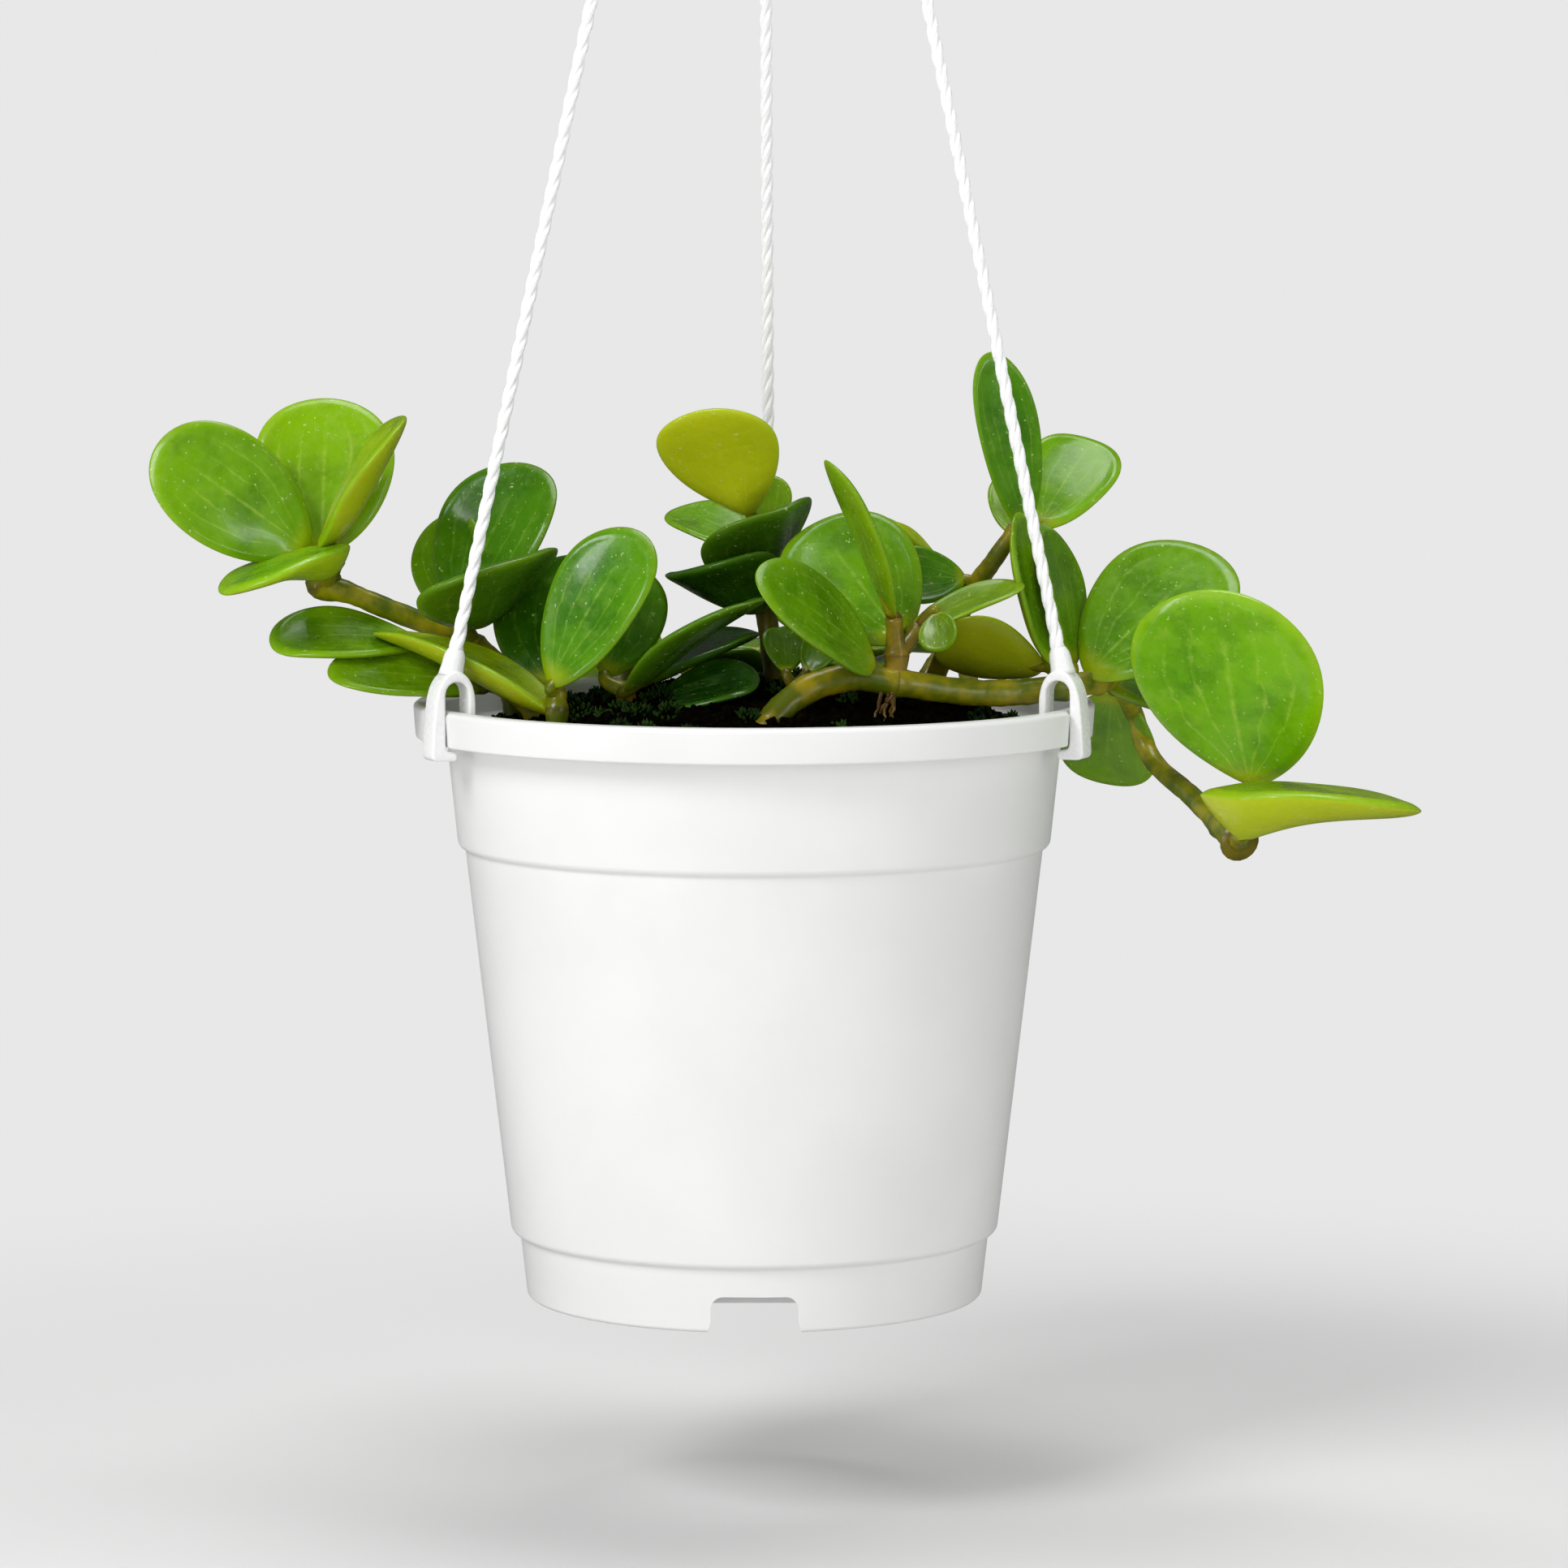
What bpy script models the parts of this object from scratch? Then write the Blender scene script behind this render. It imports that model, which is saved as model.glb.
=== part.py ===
# Trailing jade peperomia in a white hanging pot with three twisted strands and a hook.
# The tables are in millimetres; the model is built in metres, +Z up.
# Plan frame of the tables: pot axis at x = 0, y = 0, rim top at z = 0, front along -Y.
# World frame: the origin is the point where the hook hangs on its rail.

import math

import bmesh
import bpy
from mathutils import Matrix, Vector

MM = 0.001
GAP = 0.3

# Hanging geometry
HANG_DROP = 286.0
HANG_OFFSET_X = 1.4
APEX_HEIGHT = 261.0
STRAND_DIAMETER = 2.3
STRAND_STEP = 9.9
STRAND_AZIMUTH = {"left": -65.5, "right": 68.5, "back": 177.2}
STRAND_FOOT_RADIUS = 57.0

# Pot: heights, and the (radius, height) points of its turned outline
POT_SEGMENTS = 56
FOOT_Z = -105.5
FLOOR_UNDER_Z = -101.5
FLOOR_TOP_Z = -99.8
POT_OUTLINE = [
    (56.8, 0.0), (59.2, 0.0), (59.9, -0.6), (59.5, -6.1), (58.3, -6.1), (58.5, -1.6), (57.0, -1.6),
    (56.9, -6.5), (54.1, -6.5), (52.2, -24.8), (51.8, -25.4), (50.9, -25.9), (43.1, -93.2),
    (42.7, -93.8), (41.5, -94.3), (40.3, -105.0), (39.8, FOOT_Z), (38.6, FOOT_Z),
    (38.9, FLOOR_UNDER_Z), (0.0, FLOOR_UNDER_Z), (0.0, FLOOR_TOP_Z), (38.4, FLOOR_TOP_Z),
    (40.0, -97.0), (49.6, -26.0), (52.7, -8.0), (55.3, -4.6), (55.8, -0.9),
]

# Pot: the three seats cut in the rim's band for the clips, and the foot's drain notches
NOTCH_WIDTH = 5.8
NOTCH_OUTLINE = [(58.7, -9.0), (62.0, -9.0), (62.0, 1.0), (58.7, 1.0)]
DRAIN_WIDTH = 15.0
DRAIN_HEIGHT = 6.4
DRAIN_FLARE = 0.8
DRAIN_FLARE_HEIGHT = 2.0
DRAIN_CORNER = 2.2
DRAIN_CORNER_STEPS = 6
DRAIN_INNER = 33.0
DRAIN_OUTER = 45.0
DRAIN_AZIMUTHS = (0.0, 120.0, 240.0)

# Clip, a flat strap bent over the rim; its outline from the outer foot up over the head,
# down the inner leg, and around the arch between the legs
CLIP_WIDTH = 5.0
CLIP_HEAD_Z = 7.6
CLIP_OUTSIDE = [
    (57.0, -8.5), (61.2, -8.5), (61.8, -7.9), (61.5, -3.0), (61.0, 2.2), (60.3, 4.5), (59.2, 6.1),
    (57.9, 7.0), (56.4, 7.0), (55.1, 6.1), (54.1, 4.5), (53.6, 2.2), (53.6, -4.0), (54.9, -4.0),
]
CLIP_ARCH_CENTRE = (57.05, 3.0)
CLIP_ARCH_RADIUS = 2.15
CLIP_ARCH_STEPS = 6
CLIP_HOOKED_FOOT = [(59.2, -6.8), (57.0, -6.8)]
CLIP_NECK = [(-0.8, 1.4), (1.4, 2.0), (3.4, 2.1), (5.2, 1.8), (6.1, 1.3)]
CLIP_NECK_SIDES = 10

# Hook: its inner radius, its rod, its arc in degrees, and the hub that takes the strands
HOOK_MOUTH = 7.5
HOOK_ROD = 2.4
HOOK_SIDES = 10
HOOK_ARC = (-60.0, 195.0)
HOOK_ARC_STEPS = 16
HOOK_SHANK_STEPS = 6
HOOK_LEAD_Z = -21.0
HUB_TOP_Z = -33.0
HUB_BOTTOM_Z = -43.0
HUB_OUTLINE = [
    (0.0, HUB_BOTTOM_Z), (6.0, HUB_BOTTOM_Z), (7.0, HUB_BOTTOM_Z + 1.0), (7.0, HUB_TOP_Z - 4.0),
    (4.6, HUB_TOP_Z - 1.2), (3.0, HUB_TOP_Z), (0.0, HUB_TOP_Z),
]
HUB_SEGMENTS = 20
HUB_SOCKET = 4.2

# Potting mix: its height at the middle, how far it falls to the wall, and its outline below
SOIL_SEGMENTS = 30
SOIL_TOP = -4.0
SOIL_FALL = 5.5
SOIL_RADIUS = 52.0
SOIL_LUMP = 0.35
SOIL_RINGS = (10.0, 20.0, 30.0, 38.0, 45.0, 49.5)
SOIL_SIDE = [(52.3, -9.6), (49.3, -26.0), (39.9, -96.0), (38.2, FLOOR_TOP_Z + GAP)]
HOLE_MARGIN = 0.45
HOLE_SIDES = 12
STEM_DEPTH = 16.0
STEM_FOOT_Z = -4.0

# Foliage
STEM_SIDES = 6
BLADE_POINTS = 12
BLADE_EDGE = 0.9
BLADE_CORE = 1.6
BLADE_EGG = 0.22
BLADE_NECK = 0.35
BLADE_NECK_REACH = 0.12
PETIOLE_RADIUS = 1.15
PETIOLE_SIDES = 5
PETIOLE_START = 0.7
PETIOLE_SINK = 2.5
STALK_RADII = [1.7, 1.4]
STALK_SINK = 1.0

# Each leafy stem: where it stands in the mix, its route with the stem's radius at each
# point, and its leaves. A leaf is the route point that it grows from, its blade's base,
# its blade's tip, the way its upper face looks, its width, and its cup and its bend.
STEMS = {
    "stem_left": {
        "root": (-42, 0),
        "route": [((-44, 3, 4), 2.0), ((-49, 5, 9), 1.9), ((-54, 4, 11.6), 1.9), ((-64, 1, 15.8), 1.9),
                  ((-71, 0, 18.8), 1.9), ((-75.5, 0, 20.5), 2.1), ((-74.5, 0, 26), 1.5)],
        "leaves": [
            (6, (-78.2, -1.3, 26.2), (-103.9, -7.9, 45.2), (3.2, -9, 1.3), 21.1, 0.1, 0.1),
            (6, (-76.2, 3.3, 25), (-75.8, 14.5, 52.5), (0.2, -9, 2.8), 24.8, 0.04, 0.08),
            (6, (-76, -2, 26.5), (-60.3, -10, 49.5), (-9, -1.4, 6), 19, 0.1, 0.1),
            (5, (-70.9, -4.7, 27.5), (-91.8, -16.4, 20), (-2.6, -1.2, 9), 19, 0.03, 0.03),
            (1, (-52.3, 4.3, 14.3), (-39.3, 13.1, 40.7), (-5.1, -9, 5.5), 23.3, 0.1, 0.1),
            (1, (-52.1, 8.8, 13.3), (-54.5, 15.6, 31.9), (-6.1, -9, 2.5), 15.6, 0.1, 0.1),
            (1, (-50.4, 1.7, 13.7), (-42.3, -17.5, 25.25), (-4.5, 3.6, 9), 27.5, 0.05, 0.06),
        ],
    },
    "stem_low_left": {
        "root": (-38, -9),
        "route": [((-41, -8, 1), 1.8), ((-47, -6, 4), 1.7), ((-54, -4, 6), 1.4)],
        "leaves": [
            (2, (-58, -2.8, 10.0), (-84.5, -8.9, 10.7), (1, -4, 9), 17.6, 0.1, 0.1),
            (1, (-47.5, -7.5, 2.6), (-73.9, -15.9, 5.6), (3, -4.4, 9), 14.5, 0.1, 0.1),
        ],
    },
    "stem_front_left": {
        "root": (-34, -22),
        "route": [((-34, -22, 0), 1.8), ((-34, -21, 3), 1.4)],
        "leaves": [
            (1, (-35.4, -9.4, 2.6), (-32.5, 7.6, 25.1), (-4.3, -9, 7.3), 25, 0.05, 0.1),
            (1, (-34.9, -23, 4.1), (-19.3, -21.8, 30.7), (-5.7, -9, 3.8), 19.3, 0.08, 0.1),
            (0, (-33.4, -20.0, -0.9), (-66.3, -6.2, 12.4), (3.3, -0.9, 9), 15.4, 0.1, 0.2),
        ],
    },
    "stem_front_middle": {
        "root": (-22, -15),
        "route": [((-22, -15, 0), 1.8), ((-22.5, -16, 3), 1.5)],
        "leaves": [
            (1, (-26, -15, 5.4), (-22, -4, 25.2), (6.3, -9, 3.7), 17.1, 0.1, 0.1),
            (1, (-22.3, -18, 3), (1, -33.7, 19.9), (-5, 2, 8), 17, 0.06, 0.1),
            (1, (-20, -13, 4), (0, -2, 12), (-3, -2, 9), 17, 0.10, 0.10),
            (0, (-18, -17, 0), (1, -18, 5), (-2, -4, 9), 15, 0.10, 0.10),
        ],
    },
    "stem_centre": {
        "root": (4, -2),
        "route": [((4, -1, 1), 2.0), ((3, 2, 9), 1.9), ((2, 4, 16), 1.8), ((1, 5, 24), 1.7),
                  ((0, 5, 30), 1.4)],
        "leaves": [
            (4, (-0.5, 2.9, 32.4), (-9.6, -10.3, 51.1), (1.6, 9, 7.2), 21.9, -0.01, 0.1),
            (3, (0.3, 7.2, 26), (-14.3, 21, 32.3), (0, -4.4, 9), 12.8, 0.1, 0.1),
            (2, (-0.3, 5, 20), (3.4, -13.4, 33.8), (-6, 5.6, 9), 22, 0.12, 0.1),
            (2, (1.5, 3, 16.2), (-10.3, -12.2, 23.6), (0.3, 4.1, 9), 21.5, 0.12, 0.1),
            (3, (2, 7, 29), (3, 12, 39), (2, -9, 3), 8, 0.10, 0.10),
        ],
    },
    "stem_main": {
        "root": (2, -33),
        "route": [((3, -31, -1), 2.5), ((9, -28, 4), 2.5), ((17, -26, 6), 2.4), ((24, -24, 5), 2.4),
                  ((36, -20, 3), 2.3), ((45, -17, 2.6), 2.3), ((54, -12, 3.2), 2.2),
                  ((60, -7, 3.6), 2.0), ((65, 7, 2.5), 1.8), ((68, 21, -4), 1.8), ((71.5, 19, -12.5), 1.8),
                  ((77, 1, -17), 1.8), ((81.5, -12, -21), 2.2), ((84, -20, -23), 2.9)],
        "branches": [
            (3, [((24.5, -23.5, 9.5), 1.9), ((24, -24, 16), 1.3)]),
            (14, [((28.5, -22.8, 14.3), 1.4)]),
        ],
        "leaves": [
            (6, (50.7, -7.5, 6.5), (31.6, -4.5, 9.3), (1.1, 9, 8.4), 15.7, 0.1, 0.1),
            (6, (52.2, -11.6, 6.4), (45.4, -13.9, 33.6), (9, -3.6, 1.7), 15, 0.1, -0.2),
            (6, (55.5, -8, 6.3), (50.4, -2.3, 30.9), (9, -4, 2.5), 16.4, 0.1, 0.1),
            (7, (58.3, -10.3, 4.6), (81.8, -2.6, 25.3), (-4.3, -9, 8.1), 27.3, 0.08, 0.1),
            (7, (62, -3, 3), (78, 11, -2), (2, -5, 8), 20, 0.10, 0.10),
            (8, (64.4, 19.5, 0.0), (64, 31.5, -17.9), (-3, -8.5, -5), 18.5, 0.06, 0.1),
            (12, (86.8, -12.8, -14), (79.5, -31, 21.1), (-4.9, -9, -5.5), 35.6, 0.05, 0.1),
            (13, (76.3, -31, -14.2), (114.2, -30.4, -16.9), (0.6, 0.2, 9), 26.7, 0.03, 0.15),
            (3, (21.1, -24.7, 7.3), (0.4, -40.3, 24.2), (9, -6, 5.5), 17, 0.08, 0.1),
            (14, (25.2, -19, 11.3), (10.1, -7.1, 31.2), (1, -8.6, 5), 24.5, 0.08, 0.1),
            (15, (23.9, -23.4, 16.2), (12.3, -32.7, 43.4), (9, 2.6, 4.8), 13, 0.06, 0.1),
            (16, (26.5, -22.5, 13.5), (46.6, -19.8, 21.5), (-2.8, -3.8, 9), 10, 0.1, 0.1),
            (16, (31.2, -24.2, 17.2), (32.4, -27, 10.6), (-4, -8, 1), 7.5, 0.1, 0.1),
        ],
    },
    "sprig_front": {
        "root": (5, -23),
        "route": [((6, -22, 1), 1.3), ((7, -22, 4), 1.2)],
        "leaves": [
            (1, (5.5, -22, 6.5), (4.5, -17, 14), (3, -8, 3), 8, 0.1, 0.1),
            (1, (9, -22, 6.5), (13.5, -19, 13), (-2, -8, 4), 7, 0.1, 0.1),
        ],
    },
    "stem_right": {
        "root": (30, 16),
        "route": [((32, 14, 2), 1.8), ((35, 10, 10), 1.8), ((38, 6, 18), 1.7), ((42, 3, 24), 1.6),
                  ((46, 2, 30), 1.3)],
        "leaves": [
            (2, (33, 10.3, 22.6), (20.7, 14.7, 31.3), (6.4, -0.1, 9), 15, 0.1, 0.1),
            (2, (37.4, 4.3, 20.9), (21.6, 2.1, 21.4), (1.2, -9, 5), 11.4, 0.1, 0.1),
            (4, (47.7, 2, 29.5), (40.7, -4.3, 61.1), (4, -9, -0.9), 11.8, 0.14, 0.1),
            (4, (50, 4.3, 29.8), (60.9, 17.9, 45), (-0.7, -9, 8.3), 16.8, 0.1, 0.1),
            (4, (45.5, 4.9, 28.8), (46.2, 14.2, 39.6), (-1.8, -9, 7.6), 8.8, 0.1, 0.1),
        ],
    },
    "stem_back_left": {
        "root": (-22, 20),
        "route": [((-22, 20, 1), 1.8), ((-22.5, 22, 7), 1.7), ((-24, 25, 14), 1.4)],
        "leaves": [
            (1, (-25, 23, 8), (-37, 37, 8), (2, 2, 9), 18, 0.12, 0.10),
            (1, (-22, 26, 9), (-29, 48, 10), (0, -3, 9), 17, 0.10, 0.15),
            (2, (-26, 27, 15), (-36, 46, 17), (-1, -5, 8), 17, 0.1, 0.1),
            (2, (-23, 22, 15), (-22, 8, 13), (0, 4, 9), 13, 0.1, 0.1),
        ],
    },
    "stem_back_right": {
        "root": (16, 18),
        "route": [((16, 18, 1), 1.8), ((17, 20, 7), 1.7), ((18, 23, 13), 1.4)],
        "leaves": [
            (1, (15, 22, 8), (8, 44, 13), (1, -3, 9), 18, 0.10, 0.15),
            (1, (19, 23, 7), (23, 40, 3), (0, 3, 9), 16, 0.12, 0.10),
            (0, (17, 15, 3), (20, -6, 6), (0, -4, 8), 14, 0.10, 0.10),
            (2, (18, 25, 15), (20, 40, 23), (2, -6, 6), 16, 0.10, 0.10),
        ],
    },
    "stem_back_middle": {
        "root": (4, 32),
        "route": [((4, 32, 0), 1.6), ((4, 33, 4), 1.4)],
        "leaves": [
            (1, (7, 35.5, 6), (15, 51, 7), (0, -2, 9), 15, 0.10, 0.10),
            (1, (2, 36, 6), (-5, 52, 5), (0, -2, 9), 17, 0.10, 0.10),
            (0, (1, 30, 2), (-10, 21, 6), (1, 3, 9), 15, 0.10, 0.10),
        ],
    },
    "trailing_stem_back_left": {
        "root": (-10, 36),
        "route": [((-10, 37, 0), 1.9), ((-14, 45, 4), 1.9), ((-19, 54, 5), 1.8), ((-23, 61, 3), 1.8),
                  ((-26, 66, -6), 1.8), ((-28, 69, -18), 1.7), ((-29, 70, -30), 1.4)],
        "leaves": [
            (1, (-17, 45, 6), (-38, 53, 9), (0, -3, 9), 19, 0.10, 0.10),
            (2, (-16, 57, 5), (-8, 76, -2), (-1, -2, 9), 18, 0.10, 0.15),
            (3, (-26, 62, 2), (-44, 76, -6), (1, 2, 9), 20, 0.10, 0.15),
            (4, (-24, 69, -7), (-8, 86, -18), (2, 6, 8), 20, 0.10, 0.15),
            (5, (-30, 71, -20), (-42, 80, -40), (-4, 6, 5), 20, 0.10, 0.15),
            (6, (-28, 72, -32), (-24, 82, -54), (1, 9, 3), 20, 0.10, 0.15),
        ],
    },
    "trailing_stem_back_right": {
        "root": (30, 32),
        "route": [((31, 34, 0), 1.8), ((33, 40, 3), 1.8), ((36, 47, 5), 1.8), ((39, 53, 2), 1.7),
                  ((41, 58, -8), 1.7), ((42, 60, -20), 1.4)],
        "leaves": [
            (2, (36, 49, 6), (22, 66, 3), (1, -2, 9), 19, 0.10, 0.15),
            (4, (41, 58, -9), (26, 76, -20), (-2, 7, 6), 19, 0.10, 0.15),
            (5, (42, 61, -22), (44, 72, -45), (2, 9, 2), 19, 0.10, 0.15),
        ],
    },
}


# Blades with a funnel beneath, which their stalk joins: how far along the blade and how deep
FUNNELS = {
    ("stem_left", 3): (0.18, 2.8),
    ("stem_main", 7): (0.20, 6.4),
}


def place(point):
    """Plan millimetres to world metres."""
    x, y, z = point
    return Vector(((x - HANG_OFFSET_X) * MM, y * MM, (z - HANG_DROP) * MM))


def clear_scene():
    for obj in list(bpy.data.objects):
        bpy.data.objects.remove(obj, do_unlink=True)


def make_material(name, colour, roughness):
    material = bpy.data.materials.new(name)
    material.use_nodes = True
    shader = material.node_tree.nodes["Principled BSDF"]
    shader.inputs["Base Color"].default_value = (*colour, 1.0)
    shader.inputs["Roughness"].default_value = roughness
    shader.inputs["Metallic"].default_value = 0.0
    return material


def add_object(name, mesh, material=None):
    obj = bpy.data.objects.new(name, mesh)
    bpy.context.scene.collection.objects.link(obj)
    if material is not None:
        mesh.materials.append(material)
    return obj


def mesh_from_bmesh(name, bm):
    bmesh.ops.recalc_face_normals(bm, faces=bm.faces)
    mesh = bpy.data.meshes.new(name)
    bm.to_mesh(mesh)
    bm.free()
    return mesh


def turned_mesh(name, outline, segments):
    """A closed solid turned about the pot's axis from (radius, height) points."""
    bm = bmesh.new()
    rings = []
    for radius, height in outline:
        if radius == 0.0:
            rings.append([bm.verts.new(place((0.0, 0.0, height)))])
            continue
        ring = []
        for step in range(segments):
            angle = math.tau * step / segments
            ring.append(bm.verts.new(place((radius * math.sin(angle), -radius * math.cos(angle), height))))
        rings.append(ring)
    for first, second in zip(rings, rings[1:] + rings[:1]):
        if len(first) == 1 and len(second) == 1:
            continue
        for step in range(segments):
            after = (step + 1) % segments
            if len(first) == 1:
                bm.faces.new((first[0], second[step], second[after]))
            elif len(second) == 1:
                bm.faces.new((first[step], second[0], first[after]))
            else:
                bm.faces.new((first[step], second[step], second[after], first[after]))
    return mesh_from_bmesh(name, bm)


def prism_mesh(name, outline, thickness, matrix):
    """An outline in the local XZ plane, given thickness along Y, set by the matrix."""
    bm = bmesh.new()
    loops = []
    for side in (-0.5, 0.5):
        loops.append([bm.verts.new(matrix @ Vector((u, side * thickness, w))) for u, w in outline])
    bm.faces.new(loops[0])
    bm.faces.new(list(reversed(loops[1])))
    count = len(outline)
    for step in range(count):
        after = (step + 1) % count
        bm.faces.new((loops[0][step], loops[1][step], loops[1][after], loops[0][after]))
    return mesh_from_bmesh(name, bm)


def smooth_route(points, pieces):
    """Catmull-Rom curve through the points, with that many pieces in each span."""
    result = []
    last = len(points) - 1
    for index in range(last):
        p0 = points[max(index - 1, 0)]
        p1 = points[index]
        p2 = points[index + 1]
        p3 = points[min(index + 2, last)]
        for step in range(pieces):
            t = step / pieces
            result.append(0.5 * ((2 * p1) + (p2 - p0) * t + (2 * p0 - 5 * p1 + 4 * p2 - p3) * t * t
                                 + (3 * p1 - p0 - 3 * p2 + p3) * t ** 3))
    result.append(points[last])
    return result


def tube_mesh(name, points, radii, sides):
    """A closed tube along plan points, with a radius at each."""
    bm = bmesh.new()
    rings = []
    side_way = Vector((1.0, 0.0, 0.0))
    for index, point in enumerate(points):
        before = points[max(index - 1, 0)]
        beyond = points[min(index + 1, len(points) - 1)]
        along = (beyond - before).normalized()
        side_way = side_way - along * side_way.dot(along)
        if side_way.length < 0.1:
            side_way = along.orthogonal()
        side_way.normalize()
        other_way = along.cross(side_way)
        ring = []
        for step in range(sides):
            angle = math.tau * step / sides
            offset = side_way * math.cos(angle) + other_way * math.sin(angle)
            ring.append(bm.verts.new(place(point + offset * radii[index])))
        rings.append(ring)
    for first, second in zip(rings, rings[1:]):
        for step in range(sides):
            after = (step + 1) % sides
            bm.faces.new((first[step], first[after], second[after], second[step]))
    bm.faces.new(list(reversed(rings[0])))
    bm.faces.new(rings[-1])
    return mesh_from_bmesh(name, bm)


def blade_frame(base, tip, facing):
    along = (tip - base).normalized()
    normal = (facing - along * facing.dot(along)).normalized()
    return along, normal, normal.cross(along)


def blade_outline(count):
    """Points around a blade: the share of its length from the base and of its width aside."""
    angles = [math.pi * step / 60 for step in range(61)]
    widest = max(math.sin(angle) * (1 - BLADE_EGG * math.cos(angle)) for angle in angles)
    outline = []
    for step in range(count):
        angle = math.tau * step / count
        u = 0.5 * (1 - math.cos(angle))
        v = 0.5 * math.sin(angle) * (1 - BLADE_EGG * math.cos(angle)) / widest
        outline.append((u, v * (1 - BLADE_NECK * math.exp(-u / BLADE_NECK_REACH))))
    return outline


def blade_mesh(name, base, tip, facing, width, cup, bend, funnel):
    """A fleshy leaf blade: both faces are split alike, with an edge wall between them."""
    along, normal, side_way = blade_frame(base, tip, facing)
    length = (tip - base).length
    bm = bmesh.new()

    def vertex(u, v, lift):
        above = cup * width * (2 * v) ** 2 + bend * length * (0.25 - (u - 0.5) ** 2)
        return bm.verts.new(place(base + along * u * length + side_way * v * width
                                  + normal * (above + lift)))

    outline = blade_outline(BLADE_POINTS)
    rims = []
    for way in (1, -1):
        rim = [vertex(u, v, way * BLADE_EDGE / 2) for u, v in outline]
        if funnel and way < 0:
            centre = vertex(funnel[0], 0.0, -BLADE_CORE / 2 - funnel[1])
        else:
            centre = vertex(0.5, 0.0, way * BLADE_CORE / 2)
        for step in range(BLADE_POINTS):
            bm.faces.new((rim[step], rim[(step + 1) % BLADE_POINTS], centre))
        rims.append(rim)
    upper, lower = rims
    for step in range(BLADE_POINTS):
        after = (step + 1) % BLADE_POINTS
        bm.faces.new((upper[step], lower[step], lower[after], upper[after]))
    return mesh_from_bmesh(name, bm)


def boolean_apply(obj, operation, cutter=None, collection=None, solver="EXACT"):
    """Apply one Boolean with an object or with a whole collection."""
    modifier = obj.modifiers.new("join", "BOOLEAN")
    modifier.operation = operation
    modifier.solver = solver
    if collection is not None:
        modifier.operand_type = "COLLECTION"
        modifier.collection = collection
    else:
        modifier.object = cutter
    graph = bpy.context.evaluated_depsgraph_get()
    joined = bpy.data.meshes.new_from_object(obj.evaluated_get(graph))
    obj.modifiers.clear()
    obj.data = joined


def cut_all(obj, meshes):
    for mesh in meshes:
        cutter = add_object("cutter", mesh)
        boolean_apply(obj, "DIFFERENCE", cutter=cutter)
        bpy.data.objects.remove(cutter, do_unlink=True)


def join_all(obj, meshes):
    group = bpy.data.collections.new("repeats")
    bpy.context.scene.collection.children.link(group)
    for index, mesh in enumerate(meshes):
        group.objects.link(bpy.data.objects.new("repeat_%02d" % index, mesh))
    boolean_apply(obj, "UNION", collection=group)
    for repeat in list(group.objects):
        bpy.data.objects.remove(repeat, do_unlink=True)
    bpy.data.collections.remove(group)


def radial_matrix(azimuth):
    """Local X points outwards at that azimuth from the front, local Z up, in plan millimetres."""
    angle = math.radians(azimuth)
    outward = Vector((math.sin(angle), -math.cos(angle), 0.0))
    upward = Vector((0.0, 0.0, 1.0))
    sideways = upward.cross(outward)
    turn = Matrix((outward, sideways, upward)).transposed().to_4x4()
    return Matrix.Translation(place((0.0, 0.0, 0.0))) @ Matrix.Scale(MM, 4) @ turn


def strand_line(azimuth):
    """Foot and apex of a strand's straight line."""
    angle = math.radians(azimuth)
    foot = Vector((STRAND_FOOT_RADIUS * math.sin(angle), -STRAND_FOOT_RADIUS * math.cos(angle),
                   CLIP_HEAD_Z))
    return foot, Vector((HANG_OFFSET_X, 0.0, APEX_HEIGHT))


def build_pot(material):
    pot = add_object("pot", turned_mesh("pot", POT_OUTLINE, POT_SEGMENTS), material)
    cutters = []
    for azimuth in STRAND_AZIMUTH.values():
        cutters.append(prism_mesh("notch", NOTCH_OUTLINE, NOTCH_WIDTH, radial_matrix(azimuth)))
    for azimuth in DRAIN_AZIMUTHS:
        cutters.append(drain_cutter(azimuth))
    cut_all(pot, cutters)
    finish_shading(pot)
    return pot


def drain_cutter(azimuth):
    """An arched notch through the foot wall that reaches into the floor."""
    half = DRAIN_WIDTH / 2
    foot = FOOT_Z - 1.0
    top = FOOT_Z + DRAIN_HEIGHT - DRAIN_CORNER
    profile = [(-half - DRAIN_FLARE, foot), (half + DRAIN_FLARE, foot),
               (half, FOOT_Z + DRAIN_FLARE_HEIGHT)]
    for side in (1, -1):
        for step in range(DRAIN_CORNER_STEPS + 1):
            angle = math.pi / 2 * step / DRAIN_CORNER_STEPS
            if side < 0:
                angle = math.pi / 2 - angle
            profile.append((side * (half - DRAIN_CORNER + DRAIN_CORNER * math.cos(angle)),
                            top + DRAIN_CORNER * math.sin(angle)))
    profile.append((-half, FOOT_Z + DRAIN_FLARE_HEIGHT))
    turn = Matrix.Rotation(math.pi / 2, 4, "Z")
    shift = Matrix.Translation(Vector(((DRAIN_INNER + DRAIN_OUTER) / 2, 0.0, 0.0)))
    return prism_mesh("drain", profile, DRAIN_OUTER - DRAIN_INNER, radial_matrix(azimuth) @ shift @ turn)


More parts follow.
